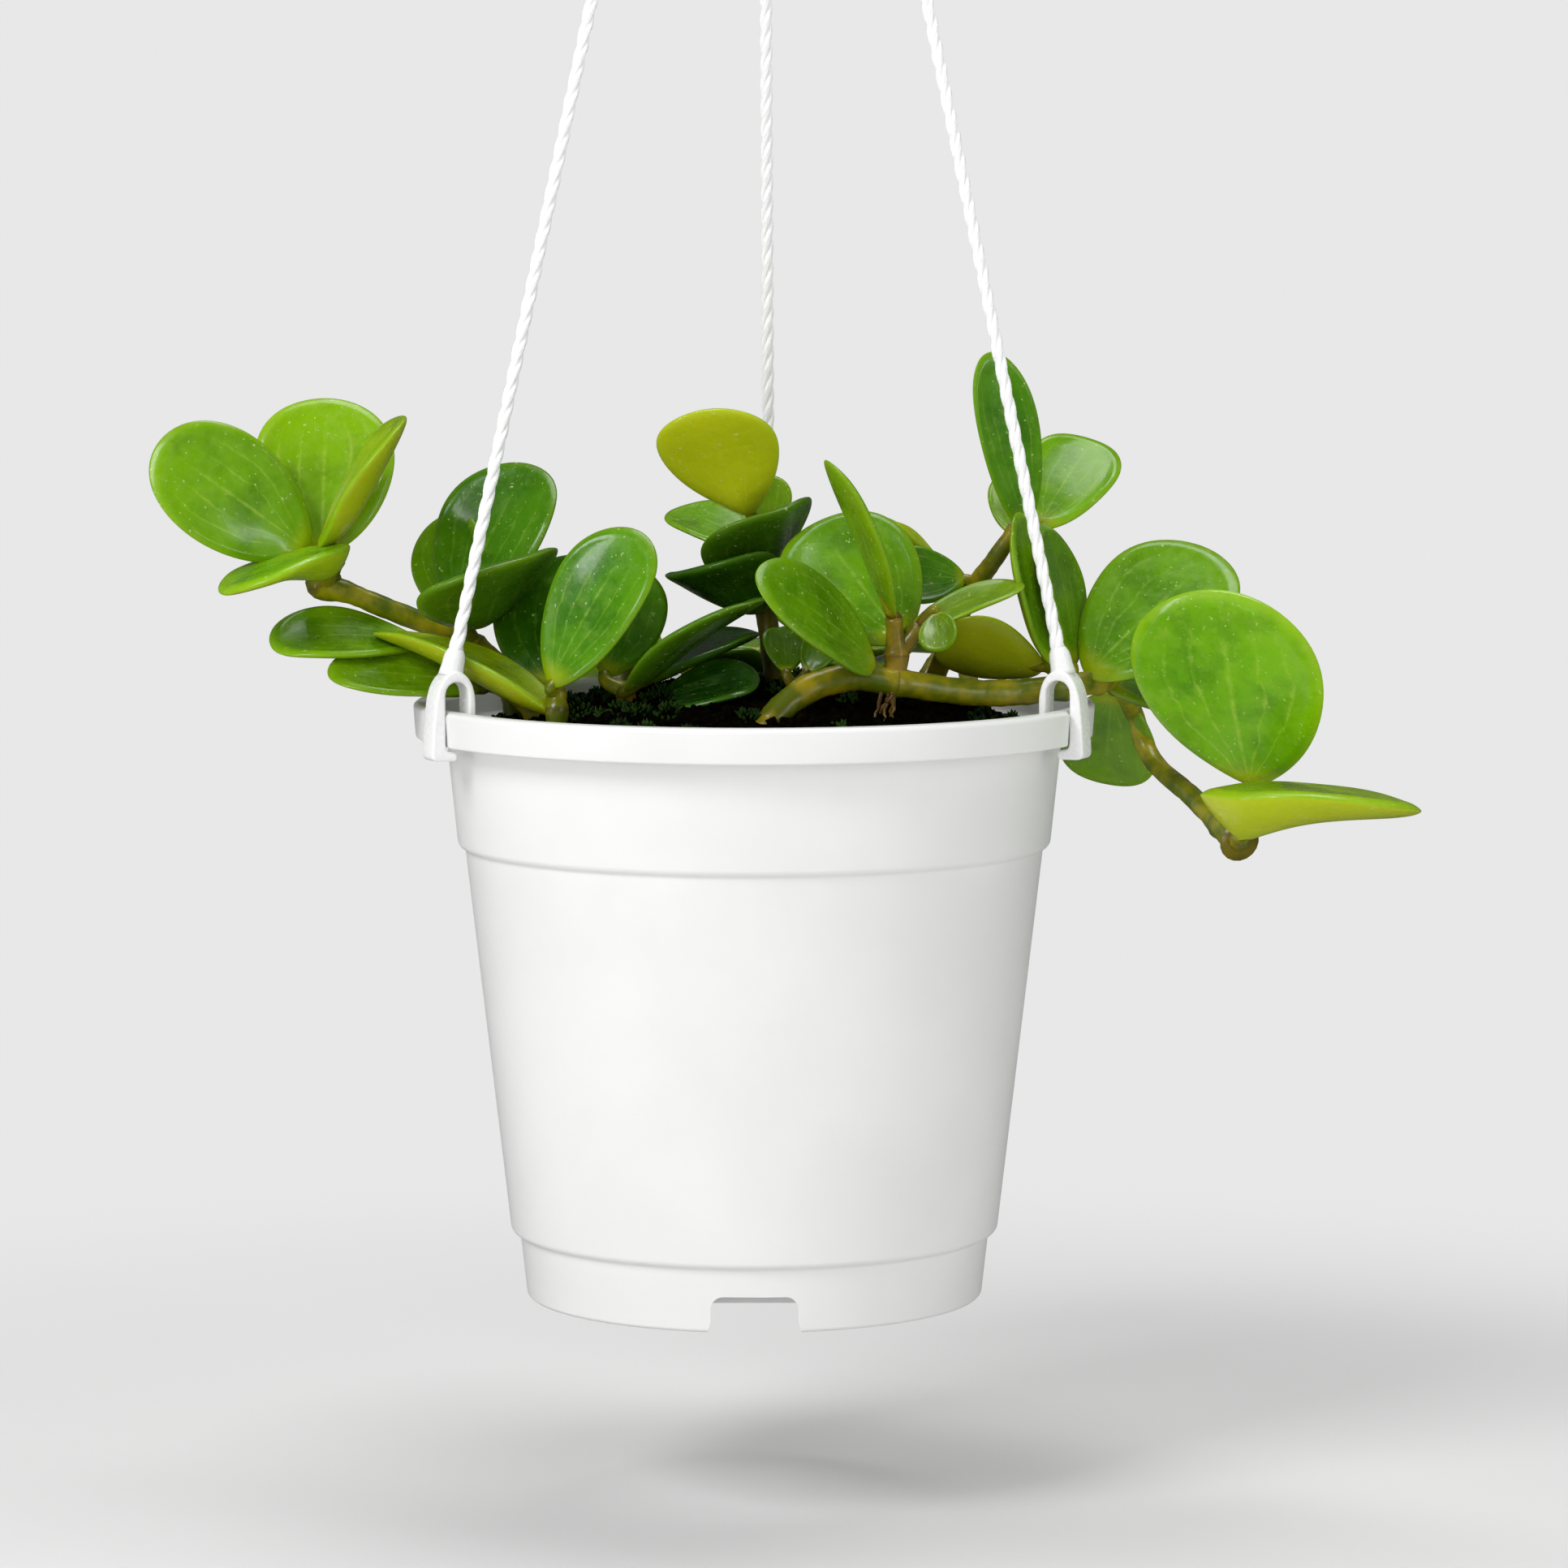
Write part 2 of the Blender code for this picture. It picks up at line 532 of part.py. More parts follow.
def build_soil(material, stands):
    outline = SOIL_SIDE + [(0.0, FLOOR_TOP_Z + GAP), (0.0, SOIL_TOP)]
    for radius in SOIL_RINGS:
        lump = SOIL_LUMP * math.sin(radius * 1.7)
        outline.append((radius, SOIL_TOP - SOIL_FALL * (radius / SOIL_RADIUS) ** 2 + lump))
    soil = add_object("potting_mix", turned_mesh("potting_mix", outline, SOIL_SEGMENTS), material)
    holes = []
    for (x, y), radius in stands:
        line = [Vector((x, y, -STEM_DEPTH - GAP)), Vector((x, y, 2.0))]
        holes.append(tube_mesh("hole", line, [radius + HOLE_MARGIN] * 2, HOLE_SIDES))
    cut_all(soil, holes)
    finish_shading(soil)
    return soil


def clip_outline():
    """The bent strap seen along the rim: legs, shoulders, head, arch and turned-in foot."""
    outline = list(CLIP_OUTSIDE)
    for step in range(CLIP_ARCH_STEPS + 1):
        angle = math.pi * (1 - step / CLIP_ARCH_STEPS)
        outline.append((CLIP_ARCH_CENTRE[0] + CLIP_ARCH_RADIUS * math.cos(angle),
                        CLIP_ARCH_CENTRE[1] + CLIP_ARCH_RADIUS * math.sin(angle)))
    return outline + CLIP_HOOKED_FOOT


def build_clip(side, material):
    azimuth = STRAND_AZIMUTH[side]
    name = "clip_" + side
    strap = prism_mesh(name, clip_outline(), CLIP_WIDTH, radial_matrix(azimuth))
    clip = add_object(name, strap, material)
    foot, apex = strand_line(azimuth)
    way = (apex - foot).normalized()
    neck = [foot + way * reach for reach, radius in CLIP_NECK]
    join_all(clip, [tube_mesh("neck", neck, [radius for reach, radius in CLIP_NECK], CLIP_NECK_SIDES)])
    finish_shading(clip)
    return clip


def build_strand(side, material):
    foot, apex = strand_line(STRAND_AZIMUTH[side])
    way = (apex - foot).normalized()
    slope = math.hypot(way.x, way.y) / way.z
    start = foot + way * (CLIP_NECK[-1][0] + GAP)
    end_height = APEX_HEIGHT - (HUB_SOCKET / slope) - GAP
    end = foot + way * ((end_height - foot.z) / way.z)
    count = int((end - start).length / STRAND_STEP) + 1
    curve = bpy.data.curves.new("strand_" + side, "CURVE")
    curve.dimensions = "3D"
    curve.bevel_depth = STRAND_DIAMETER / 2 * MM
    curve.bevel_resolution = 2
    curve.use_fill_caps = True
    spline = curve.splines.new("POLY")
    spline.points.add(count)
    for index in range(count + 1):
        spline.points[index].co = (*place(start.lerp(end, index / count)), 1.0)
    strand = add_object("strand_" + side, curve)
    curve.materials.append(material)
    return strand


def build_hook(material):
    """The hanger's hub, which takes the three strands, and its hook."""
    outline = [(radius, height + HANG_DROP) for radius, height in HUB_OUTLINE]
    hub = turned_mesh("hook", outline, HUB_SEGMENTS)
    hub.transform(Matrix.Translation(Vector((HANG_OFFSET_X * MM, 0.0, 0.0))))
    hook = add_object("hook", hub, material)
    start, stop = [math.radians(angle) for angle in HOOK_ARC]
    bend = HOOK_MOUTH + HOOK_ROD
    centre = Vector((0.0, 0.0, -HOOK_MOUTH))
    join = centre + Vector((math.cos(start), 0.0, math.sin(start))) * bend
    shank = Vector((0.0, 0.0, HUB_TOP_Z - 4.0))
    lead = Vector((0.0, 0.0, HOOK_LEAD_Z))
    pull = join - Vector((3.5, 0.0, 2.0))
    points = []
    for step in range(HOOK_SHANK_STEPS):
        t = step / HOOK_SHANK_STEPS
        points.append(shank * (1 - t) ** 3 + lead * 3 * t * (1 - t) ** 2 + pull * 3 * t * t * (1 - t)
                      + join * t ** 3)
    for step in range(HOOK_ARC_STEPS + 1):
        angle = start + (stop - start) * step / HOOK_ARC_STEPS
        points.append(centre + Vector((math.cos(angle), 0.0, math.sin(angle))) * bend)
    plan = [point + Vector((HANG_OFFSET_X, 0.0, HANG_DROP)) for point in points]
    radii = [HOOK_ROD] * (len(plan) - 1) + [HOOK_ROD * 0.7]
    join_all(hook, [tube_mesh("rod", plan, radii, HOOK_SIDES)])
    finish_shading(hook)
    return hook


def build_leafy_stem(name, spec, material):
    """One stem with its petioles and blades, all joined."""
    x, y = spec["root"]
    root_radius = spec["route"][0][1]
    points = [Vector((x, y, -STEM_DEPTH)), Vector((x, y, STEM_FOOT_Z))]
    nodes = [Vector(point) for point, radius in spec["route"]]
    node_radii = [radius for point, radius in spec["route"]]
    curve = smooth_route([points[1]] + nodes, 2)
    curve_radii = smooth_route([root_radius] + node_radii, 2)
    stem = tube_mesh(name, [points[0]] + curve, [root_radius] + curve_radii, STEM_SIDES)
    obj = add_object(name, stem, material)
    parts = []
    for start, route in spec.get("branches", ()):
        branch = [nodes[start]] + [Vector(point) for point, radius in route]
        branch_radii = [route[0][1]] + [radius for point, radius in route]
        parts.append(tube_mesh("branch", branch, branch_radii, STEM_SIDES))
        nodes += branch[1:]
    for index, (node, base, tip, facing, width, cup, bend) in enumerate(spec["leaves"]):
        base = Vector(base)
        tip = Vector(tip)
        facing = Vector(facing)
        funnel = FUNNELS.get((name, index))
        parts.append(blade_mesh("blade", base, tip, facing, width, cup, bend, funnel))
        if funnel:
            along, normal, side_way = blade_frame(base, tip, facing)
            foot = base + along * (tip - base).length * funnel[0] - normal * (funnel[1] - STALK_SINK)
            parts.append(tube_mesh("stalk", [nodes[node], foot], STALK_RADII, PETIOLE_SIDES))
        else:
            parts += petiole_meshes(nodes[node], base, tip)
    join_all(obj, parts)
    finish_shading(obj)
    return obj


def petiole_meshes(node, base, tip):
    """A short leaf stalk from the stem, and its foot sunk in the blade."""
    along = (tip - base).normalized()
    stalk = tube_mesh("stalk", [node, base], [PETIOLE_RADIUS * 1.25, PETIOLE_RADIUS], PETIOLE_SIDES)
    foot = tube_mesh("foot", [base - along * PETIOLE_START, base + along * PETIOLE_SINK],
                     [PETIOLE_RADIUS * 1.05, PETIOLE_RADIUS * 0.6], PETIOLE_SIDES)
    return [stalk, foot]


def finish_shading(obj):
    obj.data.shade_smooth()
    obj.data.set_sharp_from_angle(angle=math.radians(40.0))


def build():
    clear_scene()
    plastic = make_material("white_plastic", (0.86, 0.86, 0.85), 0.4)
    cord = make_material("strand_white", (0.90, 0.90, 0.89), 0.6)
    earth = make_material("potting_mix", (0.06, 0.04, 0.025), 0.95)
    foliage = make_material("foliage", (0.10, 0.32, 0.03), 0.3)
    build_pot(plastic)
    stands = [(spec["root"], spec["route"][0][1]) for spec in STEMS.values()]
    build_soil(earth, stands)
    build_hook(plastic)
    for side in STRAND_AZIMUTH:
        build_clip(side, plastic)
        build_strand(side, cord)
    for name, spec in STEMS.items():
        build_leafy_stem(name, spec, foliage)


build()
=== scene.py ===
# Trailing jade peperomia in a white hanging pot: the detailed visible pieces.
import math
import random
from collections import namedtuple

import bmesh
import bpy
import numpy as np
from mathutils import Matrix, Vector
from numpy.linalg import norm

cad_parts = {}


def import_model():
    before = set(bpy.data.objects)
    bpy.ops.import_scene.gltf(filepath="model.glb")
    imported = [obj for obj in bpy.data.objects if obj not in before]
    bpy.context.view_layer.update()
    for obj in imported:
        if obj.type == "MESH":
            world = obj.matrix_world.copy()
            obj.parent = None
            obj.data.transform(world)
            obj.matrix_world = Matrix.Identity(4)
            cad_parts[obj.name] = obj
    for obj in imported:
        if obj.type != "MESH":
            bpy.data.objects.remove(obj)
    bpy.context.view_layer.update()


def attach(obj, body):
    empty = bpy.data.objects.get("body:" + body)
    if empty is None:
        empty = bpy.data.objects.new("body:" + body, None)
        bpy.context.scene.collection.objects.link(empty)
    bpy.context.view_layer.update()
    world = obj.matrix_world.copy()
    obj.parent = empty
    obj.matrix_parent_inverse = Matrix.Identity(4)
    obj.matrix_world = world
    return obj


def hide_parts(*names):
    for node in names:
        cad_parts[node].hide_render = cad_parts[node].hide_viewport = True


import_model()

MM = 0.001
GAP = 0.3

# Hanging geometry, in millimetres: pot axis at x = 0, y = 0, rim top at z = 0, front along -Y
HANG_DROP = 286
HANG_X = 1.4
APEX_HEIGHT = 261
STRAND_AZIMUTH = {"left": -65.5, "right": 68.5, "back": 177.2}
STRAND_FOOT = 57
CLIP_HEAD_Z = 7.6
CLIP_NECK = [(-1.6, 2.2), (-0.8, 2.1), (0.2, 1.95), (1.3, 1.9), (2.2, 1.75), (3, 1.4), (3.5, 0.9)]
HUB_SOCKET = 4.2


def world(points):
    """Plan millimetres to world metres."""
    return (np.asarray(points, float) - (HANG_X, 0, HANG_DROP)) * MM


def unit(vector):
    return vector / max(norm(vector), 1e-9)


def turns(count):
    """That many angles, spread evenly around a full turn."""
    return np.arange(count) * math.tau / count


def new_object(name, data):
    obj = bpy.data.objects.new(name, data)
    bpy.context.scene.collection.objects.link(obj)
    return obj


def mesh_from(name, bm):
    mesh = bpy.data.meshes.new(name)
    bm.to_mesh(mesh)
    bm.free()
    return mesh


# Camera, floor and lights

CAMERA_LENS = 137.4
CAMERA_PLACE = (-0.0014, -1.050, -0.1996)
CAMERA_DOWN = 0.0962
CAMERA_ASIDE = -0.005


def add_camera():
    data = bpy.data.cameras.new("camera")
    data.lens = CAMERA_LENS
    data.sensor_width = 36
    data.clip_start = 0.05
    data.clip_end = 60
    camera = new_object("camera", data)
    camera.location = CAMERA_PLACE
    camera.rotation_euler = (math.pi / 2 - CAMERA_DOWN, 0, CAMERA_ASIDE)
    bpy.context.scene.camera = camera


class Shading:
    """A material's node tree, built with short calls."""

    def __init__(self, name, roughness=0.5, specular=0.5):
        self.material = bpy.data.materials.new(name)
        self.material.use_nodes = True
        self.tree = self.material.node_tree
        self.shader = self.tree.nodes["Principled BSDF"]
        self.give("Roughness", roughness)
        self.give("Specular IOR Level", specular)

    def feed(self, socket, value):
        if isinstance(value, bpy.types.NodeSocket):
            self.tree.links.new(value, socket)
        elif isinstance(value, tuple) and len(value) == 3 and socket.type == "RGBA":
            socket.default_value = (*value, 1)
        else:
            socket.default_value = value

    def give(self, name, value):
        self.feed(self.shader.inputs[name], value)

    def add(self, kind, inputs, **settings):
        node = self.tree.nodes.new(kind)
        for key, value in settings.items():
            setattr(node, key, value)
        for key, value in inputs.items():
            self.feed(node.inputs[key], value)
        return node

    def math(self, operation, *values):
        return self.add("ShaderNodeMath", dict(enumerate(values)), operation=operation).outputs[0]

    def times(self, first, second):
        return self.math("MULTIPLY", first, second)

    def mix(self, share, first, second):
        inputs = {0: share, 6: first, 7: second}
        return self.add("ShaderNodeMix", inputs, data_type="RGBA").outputs[2]

    def span(self, value, low, high, start=0, stop=1):
        """Value from low to high turned smoothly into start to stop."""
        inputs = {0: value, 1: low, 2: high, 3: start, 4: stop}
        return self.add("ShaderNodeMapRange", inputs, interpolation_type="SMOOTHSTEP").outputs[0]

    def spot(self):
        return self.add("ShaderNodeTexCoord", {}).outputs["Object"]

    def noise(self, scale, detail=2, roughness=0.5):
        inputs = {"Vector": self.spot(), "Scale": scale, "Detail": detail, "Roughness": roughness}
        return self.add("ShaderNodeTexNoise", inputs).outputs[0]

    def values(self, name):
        """The three numbers kept at each point under that name."""
        vector = self.add("ShaderNodeAttribute", {}, attribute_name=name).outputs["Vector"]
        return self.add("ShaderNodeSeparateXYZ", {0: vector}).outputs

    def bump(self, height, depth, strength=1):
        inputs = {"Height": height, "Distance": depth, "Strength": strength}
        self.give("Normal", self.add("ShaderNodeBump", inputs).outputs[0])


BACKDROP = 0.806
FLOOR_Z = -0.4275
FLOOR_RADIUS = 12
FLOOR_FADE = (0.13, 0.36)
SKY_LIGHT = 0.07
LAMP_AIM = (0, 0, -0.3)
# Each lamp's name, place, size and power, and whether it leaves its gloss on what it lights
LAMPS = [
    ("key", (-0.85, -0.95, 0.65), (0.6, 0.6), 12, True),
    ("window", (0.1, 0.15, 0.9), (0.8, 0.6), 7, True),
    ("left_strip", (-1.1, -0.75, -0.45), (0.08, 0.8), 3.6, True),
    ("right_strip", (1, -1, -0.1), (0.08, 0.8), 2.2, True),
    ("front_fill", (-0.25, -1.4, -0.1), (1.4, 1.2), 9, False),
    ("left_fill", (-1.3, -0.1, -0.1), (1.2, 1.2), 3, False),
    ("right_fill", (1.3, -0.4, 0.1), (1.2, 1.2), 4.8, False),
    ("back_fill", (0.3, 1.3, 0.2), (1.4, 1.2), 4, False),
]


def add_floor():
    bm = bmesh.new()
    bmesh.ops.create_circle(bm, cap_ends=True, segments=96, radius=FLOOR_RADIUS)
    floor = new_object("floor", mesh_from("floor", bm))
    floor.location.z = FLOOR_Z
    look = Shading("floor_white", 0.9, 0)
    away = look.add("ShaderNodeVectorMath", {0: look.spot()}, operation="LENGTH").outputs["Value"]
    share = look.span(away, *FLOOR_FADE)
    grain = look.span(look.noise(40, 3), 0.3, 0.7, 0.995, 1)
    near = look.mix(grain, (0.72, 0.72, 0.72), (0.8, 0.8, 0.8))
    look.give("Base Color", look.mix(share, near, (0, 0, 0)))
    look.give("Emission Color", (BACKDROP, BACKDROP, BACKDROP))
    look.give("Emission Strength", share)
    floor.data.materials.append(look.material)
    floor.visible_glossy = False


def add_lamp(name, place, size, energy, mirrored):
    data = bpy.data.lights.new(name, "AREA")
    data.shape = "RECTANGLE"
    data.size, data.size_y = size
    data.energy = energy
    lamp = new_object(name, data)
    lamp.visible_glossy = mirrored
    lamp.location = place
    way = Vector(LAMP_AIM) - Vector(place)
    lamp.rotation_euler = way.to_track_quat("-Z", "Y").to_euler()


def add_world():
    """A dim sky for the light, seen from the camera as the pale backdrop."""
    sky = bpy.data.worlds.new("studio")
    sky.use_nodes = True
    tree = sky.node_tree
    path = tree.nodes.new("ShaderNodeLightPath")
    mix = tree.nodes.new("ShaderNodeMixShader")
    tree.links.new(path.outputs["Is Camera Ray"], mix.inputs[0])
    seen = tree.nodes.new("ShaderNodeBackground")
    for slot, node, grey in ((1, tree.nodes["Background"], SKY_LIGHT), (2, seen, BACKDROP)):
        node.inputs["Color"].default_value = (grey, grey, grey, 1)
        tree.links.new(node.outputs[0], mix.inputs[slot])
    tree.links.new(mix.outputs[0], tree.nodes["World Output"].inputs["Surface"])
    bpy.context.scene.world = sky


def add_studio():
    bpy.context.scene.view_settings.view_transform = "Standard"
    add_world()
    add_floor()
    for lamp in LAMPS:
        add_lamp(*lamp)


# Mesh building

class Shape:
    """The points, faces and point values of one piece, gathered ring by ring."""

    def __init__(self):
        self.points = []
        self.faces = []
        self.slots = []
        self.place = []
        self.tone = []
        self.count = 0

    def add_points(self, points, place, tone):
        points = np.asarray(points, float).reshape(-1, 3)
        self.points.append(points)
        self.place.append(np.broadcast_to(np.asarray(place, float).reshape(-1, 3), points.shape))
        self.tone.append(np.broadcast_to(np.asarray(tone, float).reshape(-1, 3), points.shape))
        first = self.count
        self.count += len(points)
        return first

    def loft(self, rings, slot=0, place=(0, 0, 0), tone=(0, 0, 0), ends=(True, True), turn=True):
        """Rings of points joined in turn, each closed around, an end closed with a middle point."""
        rings = np.asarray(rings, float)
        rows, sides = rings.shape[:2]
        place = np.broadcast_to(np.asarray(place, float), rings.shape)
        tone = np.broadcast_to(np.asarray(tone, float), rings.shape)
        first = self.add_points(rings, place, tone)
        number = first + np.arange(rows * sides).reshape(rows, sides)
        after = np.roll(number, -1, axis=1)
        if not turn:
            number = number[:, :-1]
            after = after[:, :-1]
        quads = np.stack([number[:-1], after[:-1], after[1:], number[1:]], axis=-1).reshape(-1, 4)
        self.faces += quads.tolist()
        self.slots += [slot] * len(quads)
        for row, wanted in ((0, ends[0]), (rows - 1, ends[1])):
            if not wanted:
                continue
            middle = self.add_points(rings[row].mean(0), place[row].mean(0), tone[row].mean(0))
            for one, two in zip(number[row].tolist(), after[row].tolist()):
                self.faces.append([two, one, middle] if row == 0 else [one, two, middle])
                self.slots.append(slot)

    def tube(self, path, radii, sides, slot=0, place=(0, 0, 0), tone=(0, 0, 0)):
        """A tube along a path with a radius at each point."""
        rings = []
        for point, (aside, up_way), radius in zip(path, frames_along(path), radii):
            angles = turns(sides)[:, None]
            rings.append(point + radius * (aside * np.cos(angles) + up_way * np.sin(angles)))
        spread = [np.broadcast_to(np.reshape(value, (-1, 1, 3)), (len(path), sides, 3))
                  for value in (place, tone)]
        self.loft(rings, slot, *spread)

    def mesh(self, name):
        mesh = bpy.data.meshes.new(name)
        points = world(np.concatenate(self.points))
        mesh.from_pydata(points.tolist(), [], self.faces)
        for key, values in (("place", self.place), ("tone", self.tone)):
            layer = mesh.attributes.new(key, "FLOAT_VECTOR", "POINT")
            layer.data.foreach_set("vector", np.concatenate(values).astype(np.float32).ravel())
        mesh.polygons.foreach_set("material_index", self.slots)
        mesh.shade_smooth()
        mesh.update()
        return mesh


def add_piece(name, mesh, materials, slot, *nodes):
    """One visible piece on the part's only body, in place of its plain nodes."""
    piece = new_object(name, mesh)
    for material in materials:
        mesh.materials.append(material)
    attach(piece, "root")
    if nodes:
        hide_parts(*nodes)
    return piece


def smooth_route(points, pieces):
    """Catmull-Rom curve through the points, with that many pieces in each span."""
    points = np.asarray(points, float)
    last = len(points) - 1
    result = []
    for index in range(last):
        p0, p1 = points[max(index - 1, 0)], points[index]
        p2, p3 = points[index + 1], points[min(index + 2, last)]
        for t in np.arange(pieces) / pieces:
            result.append(0.5 * ((2 * p1) + (p2 - p0) * t + (2 * p0 - 5 * p1 + 4 * p2 - p3) * t * t
                                 + (3 * p1 - p0 - 3 * p2 + p3) * t ** 3))
    result.append(points[last])
    return np.array(result)


def frames_along(path):
    """Two crossing ways at each point of a path, carried along it without twist."""
    path = np.asarray(path, float)
    ways = np.gradient(path, axis=0)
    aside = np.array((1, 0, 0))
    frames = []
    for way in ways:
        along = unit(way)
        aside = aside - along * aside.dot(along)
        if norm(aside) < 0.1:
            aside = np.cross(along, (0, 1, 0))
        aside = unit(aside)
        frames.append((aside, np.cross(along, aside)))
    return frames


def baked(obj):
    """The object's mesh with its modifiers applied; the object itself is removed."""
    graph = bpy.context.evaluated_depsgraph_get()
    mesh = bpy.data.meshes.new_from_object(obj.evaluated_get(graph))
    bpy.data.objects.remove(obj, do_unlink=True)
    return mesh


def moulded(mesh, voxel, rounds):
    """Closed forms melted into one skin with soft edges, as moulded plastic has."""
    obj = new_object("moulded", mesh)
    remesh = obj.modifiers.new("skin", "REMESH")
    remesh.mode = "VOXEL"
    remesh.voxel_size = voxel * MM
    remesh.use_smooth_shade = True
    soften = obj.modifiers.new("soften", "SMOOTH")
    soften.factor = 0.5
    soften.iterations = rounds
    return baked(obj)


# Strands

STRAND_DIAMETER = 2.3
STRAND_STEP = 0.8
LAY_PITCH = 11.9
PLY_COUNT = 3
PLY_SIDES = 12
PLY_SHARE = 0.6
STRAND_START = 1.9
STRAND_SWELL = 0.22
STRAND_SWELL_REACH = 4
ROUTE_STEP = 8


def strand_line(azimuth):
    """Foot and apex of a strand's straight line."""
    angle = math.radians(azimuth)
    foot = np.array((STRAND_FOOT * math.sin(angle), -STRAND_FOOT * math.cos(angle),
                     CLIP_HEAD_Z))
    return foot, np.array((HANG_X, 0, APEX_HEIGHT))


def strand_ends(azimuth):
    foot, apex = strand_line(azimuth)
    way = unit(apex - foot)
    slope = math.hypot(way[0], way[1]) / way[2]
    start = foot + way * STRAND_START
    end_height = APEX_HEIGHT - (HUB_SOCKET / slope) - GAP
    return start, foot + way * ((end_height - foot[2]) / way[2])


def cord_material():
    look = Shading("twisted_cord", 0.62, 0.35)
    place = look.values("place")
    turns = look.math("ADD", look.times(place[0], 9), look.times(place[1], 4.2))
    lines = look.math("SINE", turns)
    fuzz = look.noise(2600, 3)
    height = look.math("ADD", look.times(lines, 0.35), fuzz)
    # Painted shade: each ply is greyer where it turns into the grooves between the plies and white on its
    # outer side
    shade = look.span(place[2], 0.35, 0.9)
    white = look.mix(look.span(fuzz, 0.35, 0.7), (0.95, 0.95, 0.95), (0.99, 0.99, 0.99))
    look.give("Base Color", look.mix(shade, (0.9, 0.9, 0.91), white))
    look.bump(height, 0.00008, 0.5)
    look.give("Sheen Weight", 0.15)
    return look.material


def add_strands():
    material = cord_material()
    ply_radius = STRAND_DIAMETER / 2 * PLY_SHARE
    helix_radius = STRAND_DIAMETER / 2 - ply_radius
    for side, azimuth in STRAND_AZIMUTH.items():
        start, end = strand_ends(azimuth)
        length = norm(end - start)
        count = int(length / STRAND_STEP)
        reach = np.linspace(0, 1, count + 1)
        line = start + (end - start) * reach[:, None]
        aside, up_way = frames_along(line)[0]
        shape = Shape()
        for ply in range(PLY_COUNT):
            turn = math.tau * (reach * length / LAY_PITCH + ply / PLY_COUNT)[:, None]
            outward = aside * np.cos(turn) + up_way * np.sin(turn)
            swell = STRAND_SWELL * np.exp(-(reach * length / STRAND_SWELL_REACH) ** 2)
            thick = (1 + swell)[:, None]
            core = line + helix_radius * thick * outward
            sideways = np.cross(unit(end - start), outward)
            around = turns(PLY_SIDES)[None, :, None]
            rings = core[:, None] + ply_radius * thick[:, None] * (
                outward[:, None] * np.cos(around) + sideways[:, None] * np.sin(around))
            place = np.zeros_like(rings)
            place[..., 0] = around[..., 0]
            place[..., 1] = (reach * length)[:, None]
            # The third value is 1 on a ply's outer side and 0 where it turns into the grooves; the cord's
            # colour takes its painted shade from it
            place[..., 2] = 0.5 + 0.5 * np.cos(around[..., 0])
            shape.loft(rings, 0, place)
        name = "twisted_strand_" + side
        piece = add_piece(name, shape.mesh(name), [material], "strand_white", "strand_" + side)
        route = world(line[::ROUTE_STEP].tolist() + [end.tolist()])
        tuple(world(start))


# Pot, clips and hook

POT_SEGMENTS = 360
POT_EDGE = 0.45
CORNER_SHARE = 0.42
ROUND_SIDES = 32
FOOT_Z = -105.5
FLOOR_UNDER_Z = -101.5
FLOOR_TOP_Z = -99.8
POT_OUTLINE = [
    (0, FLOOR_TOP_Z), (38.4, FLOOR_TOP_Z), (40, -97), (49.6, -26), (52.7, -8),
    (55.3, -4.6), (55.8, -0.9), (56.8, 0), (59.2, 0), (59.9, -0.6), (59.5, -6.1), (58.3, -6.1),
    (58.5, -1.6), (57, -1.6), (56.9, -6.5), (54.1, -6.5), (52.2, -24.8), (51.8, -25.4),
    (50.9, -25.9), (43.1, -93.2), (42.7, -93.8), (41.5, -94.3), (40.3, -105), (39.8, FOOT_Z),
    (38.6, FOOT_Z), (38.9, FLOOR_UNDER_Z), (0, FLOOR_UNDER_Z),
]
NOTCH_WIDTH = 5.8
NOTCH_RADIUS = 58.7
NOTCH_TOP = -6.5
NOTCH_BLEND = 0.7
DRAIN_WIDTH = 15
DRAIN_HEIGHT = 6.4
DRAIN_FLARE = 0.8
DRAIN_FLARE_HEIGHT = 2
DRAIN_CORNER = 2.2
DRAIN_INNER = 33
DRAIN_OUTER = 45
DRAIN_AZIMUTHS = (0, 120, 240)
CLIP_WIDTH = 5
CLIP_OUTSIDE = [
    (57, -8.5), (61.2, -8.5), (61.8, -7.9), (61.5, -3), (61, 2.2), (60.3, 4.5), (59.2, 6.1),
    (57.9, 7), (56.4, 7), (55.1, 6.1), (54.1, 4.5), (53.6, 2.2), (53.6, -4), (54.9, -4),
]
CLIP_ARCH_CENTRE = (57.05, 3)
CLIP_ARCH_RADIUS = 2.15
CLIP_HOOKED_FOOT = [(59.2, -6.8), (57, -6.8)]
CLIP_EDGE = 0.45
CLIP_CORNER = 0.9
CLIP_POINTS = 180
HOOK_MOUTH = 7.5
HOOK_ROD = 2.4
HOOK_ARC = (-60, 195)
HOOK_SKIN = 0.4
HOOK_END = (0.97, 0.86, 0.6)
HOOK_LEAD_Z = -21
HOOK_PULL = (3.5, 0, 2)
HUB_TOP_Z = -33
HUB_BOTTOM_Z = -43
HUB_EDGE = 0.8
HUB_OUTLINE = [
    (0, HUB_BOTTOM_Z), (6, HUB_BOTTOM_Z), (7, HUB_BOTTOM_Z + 1), (7, HUB_TOP_Z - 4),
    (4.6, HUB_TOP_Z - 1.2), (3, HUB_TOP_Z), (0, HUB_TOP_Z),
]


def plastic_material(name, roughness, colour, grain):
    look = Shading(name, roughness)
    cloud = look.noise(35, 3)
    fine = look.noise(900)
    darker = tuple(value * 0.955 for value in colour)
    look.give("Base Color", look.mix(look.span(cloud, 0.3, 0.7), darker, colour))
    look.give("Roughness", look.span(fine, 0.3, 0.7, roughness - 0.05, roughness + 0.06))
    look.bump(fine, grain, 0.5)
    return look.material


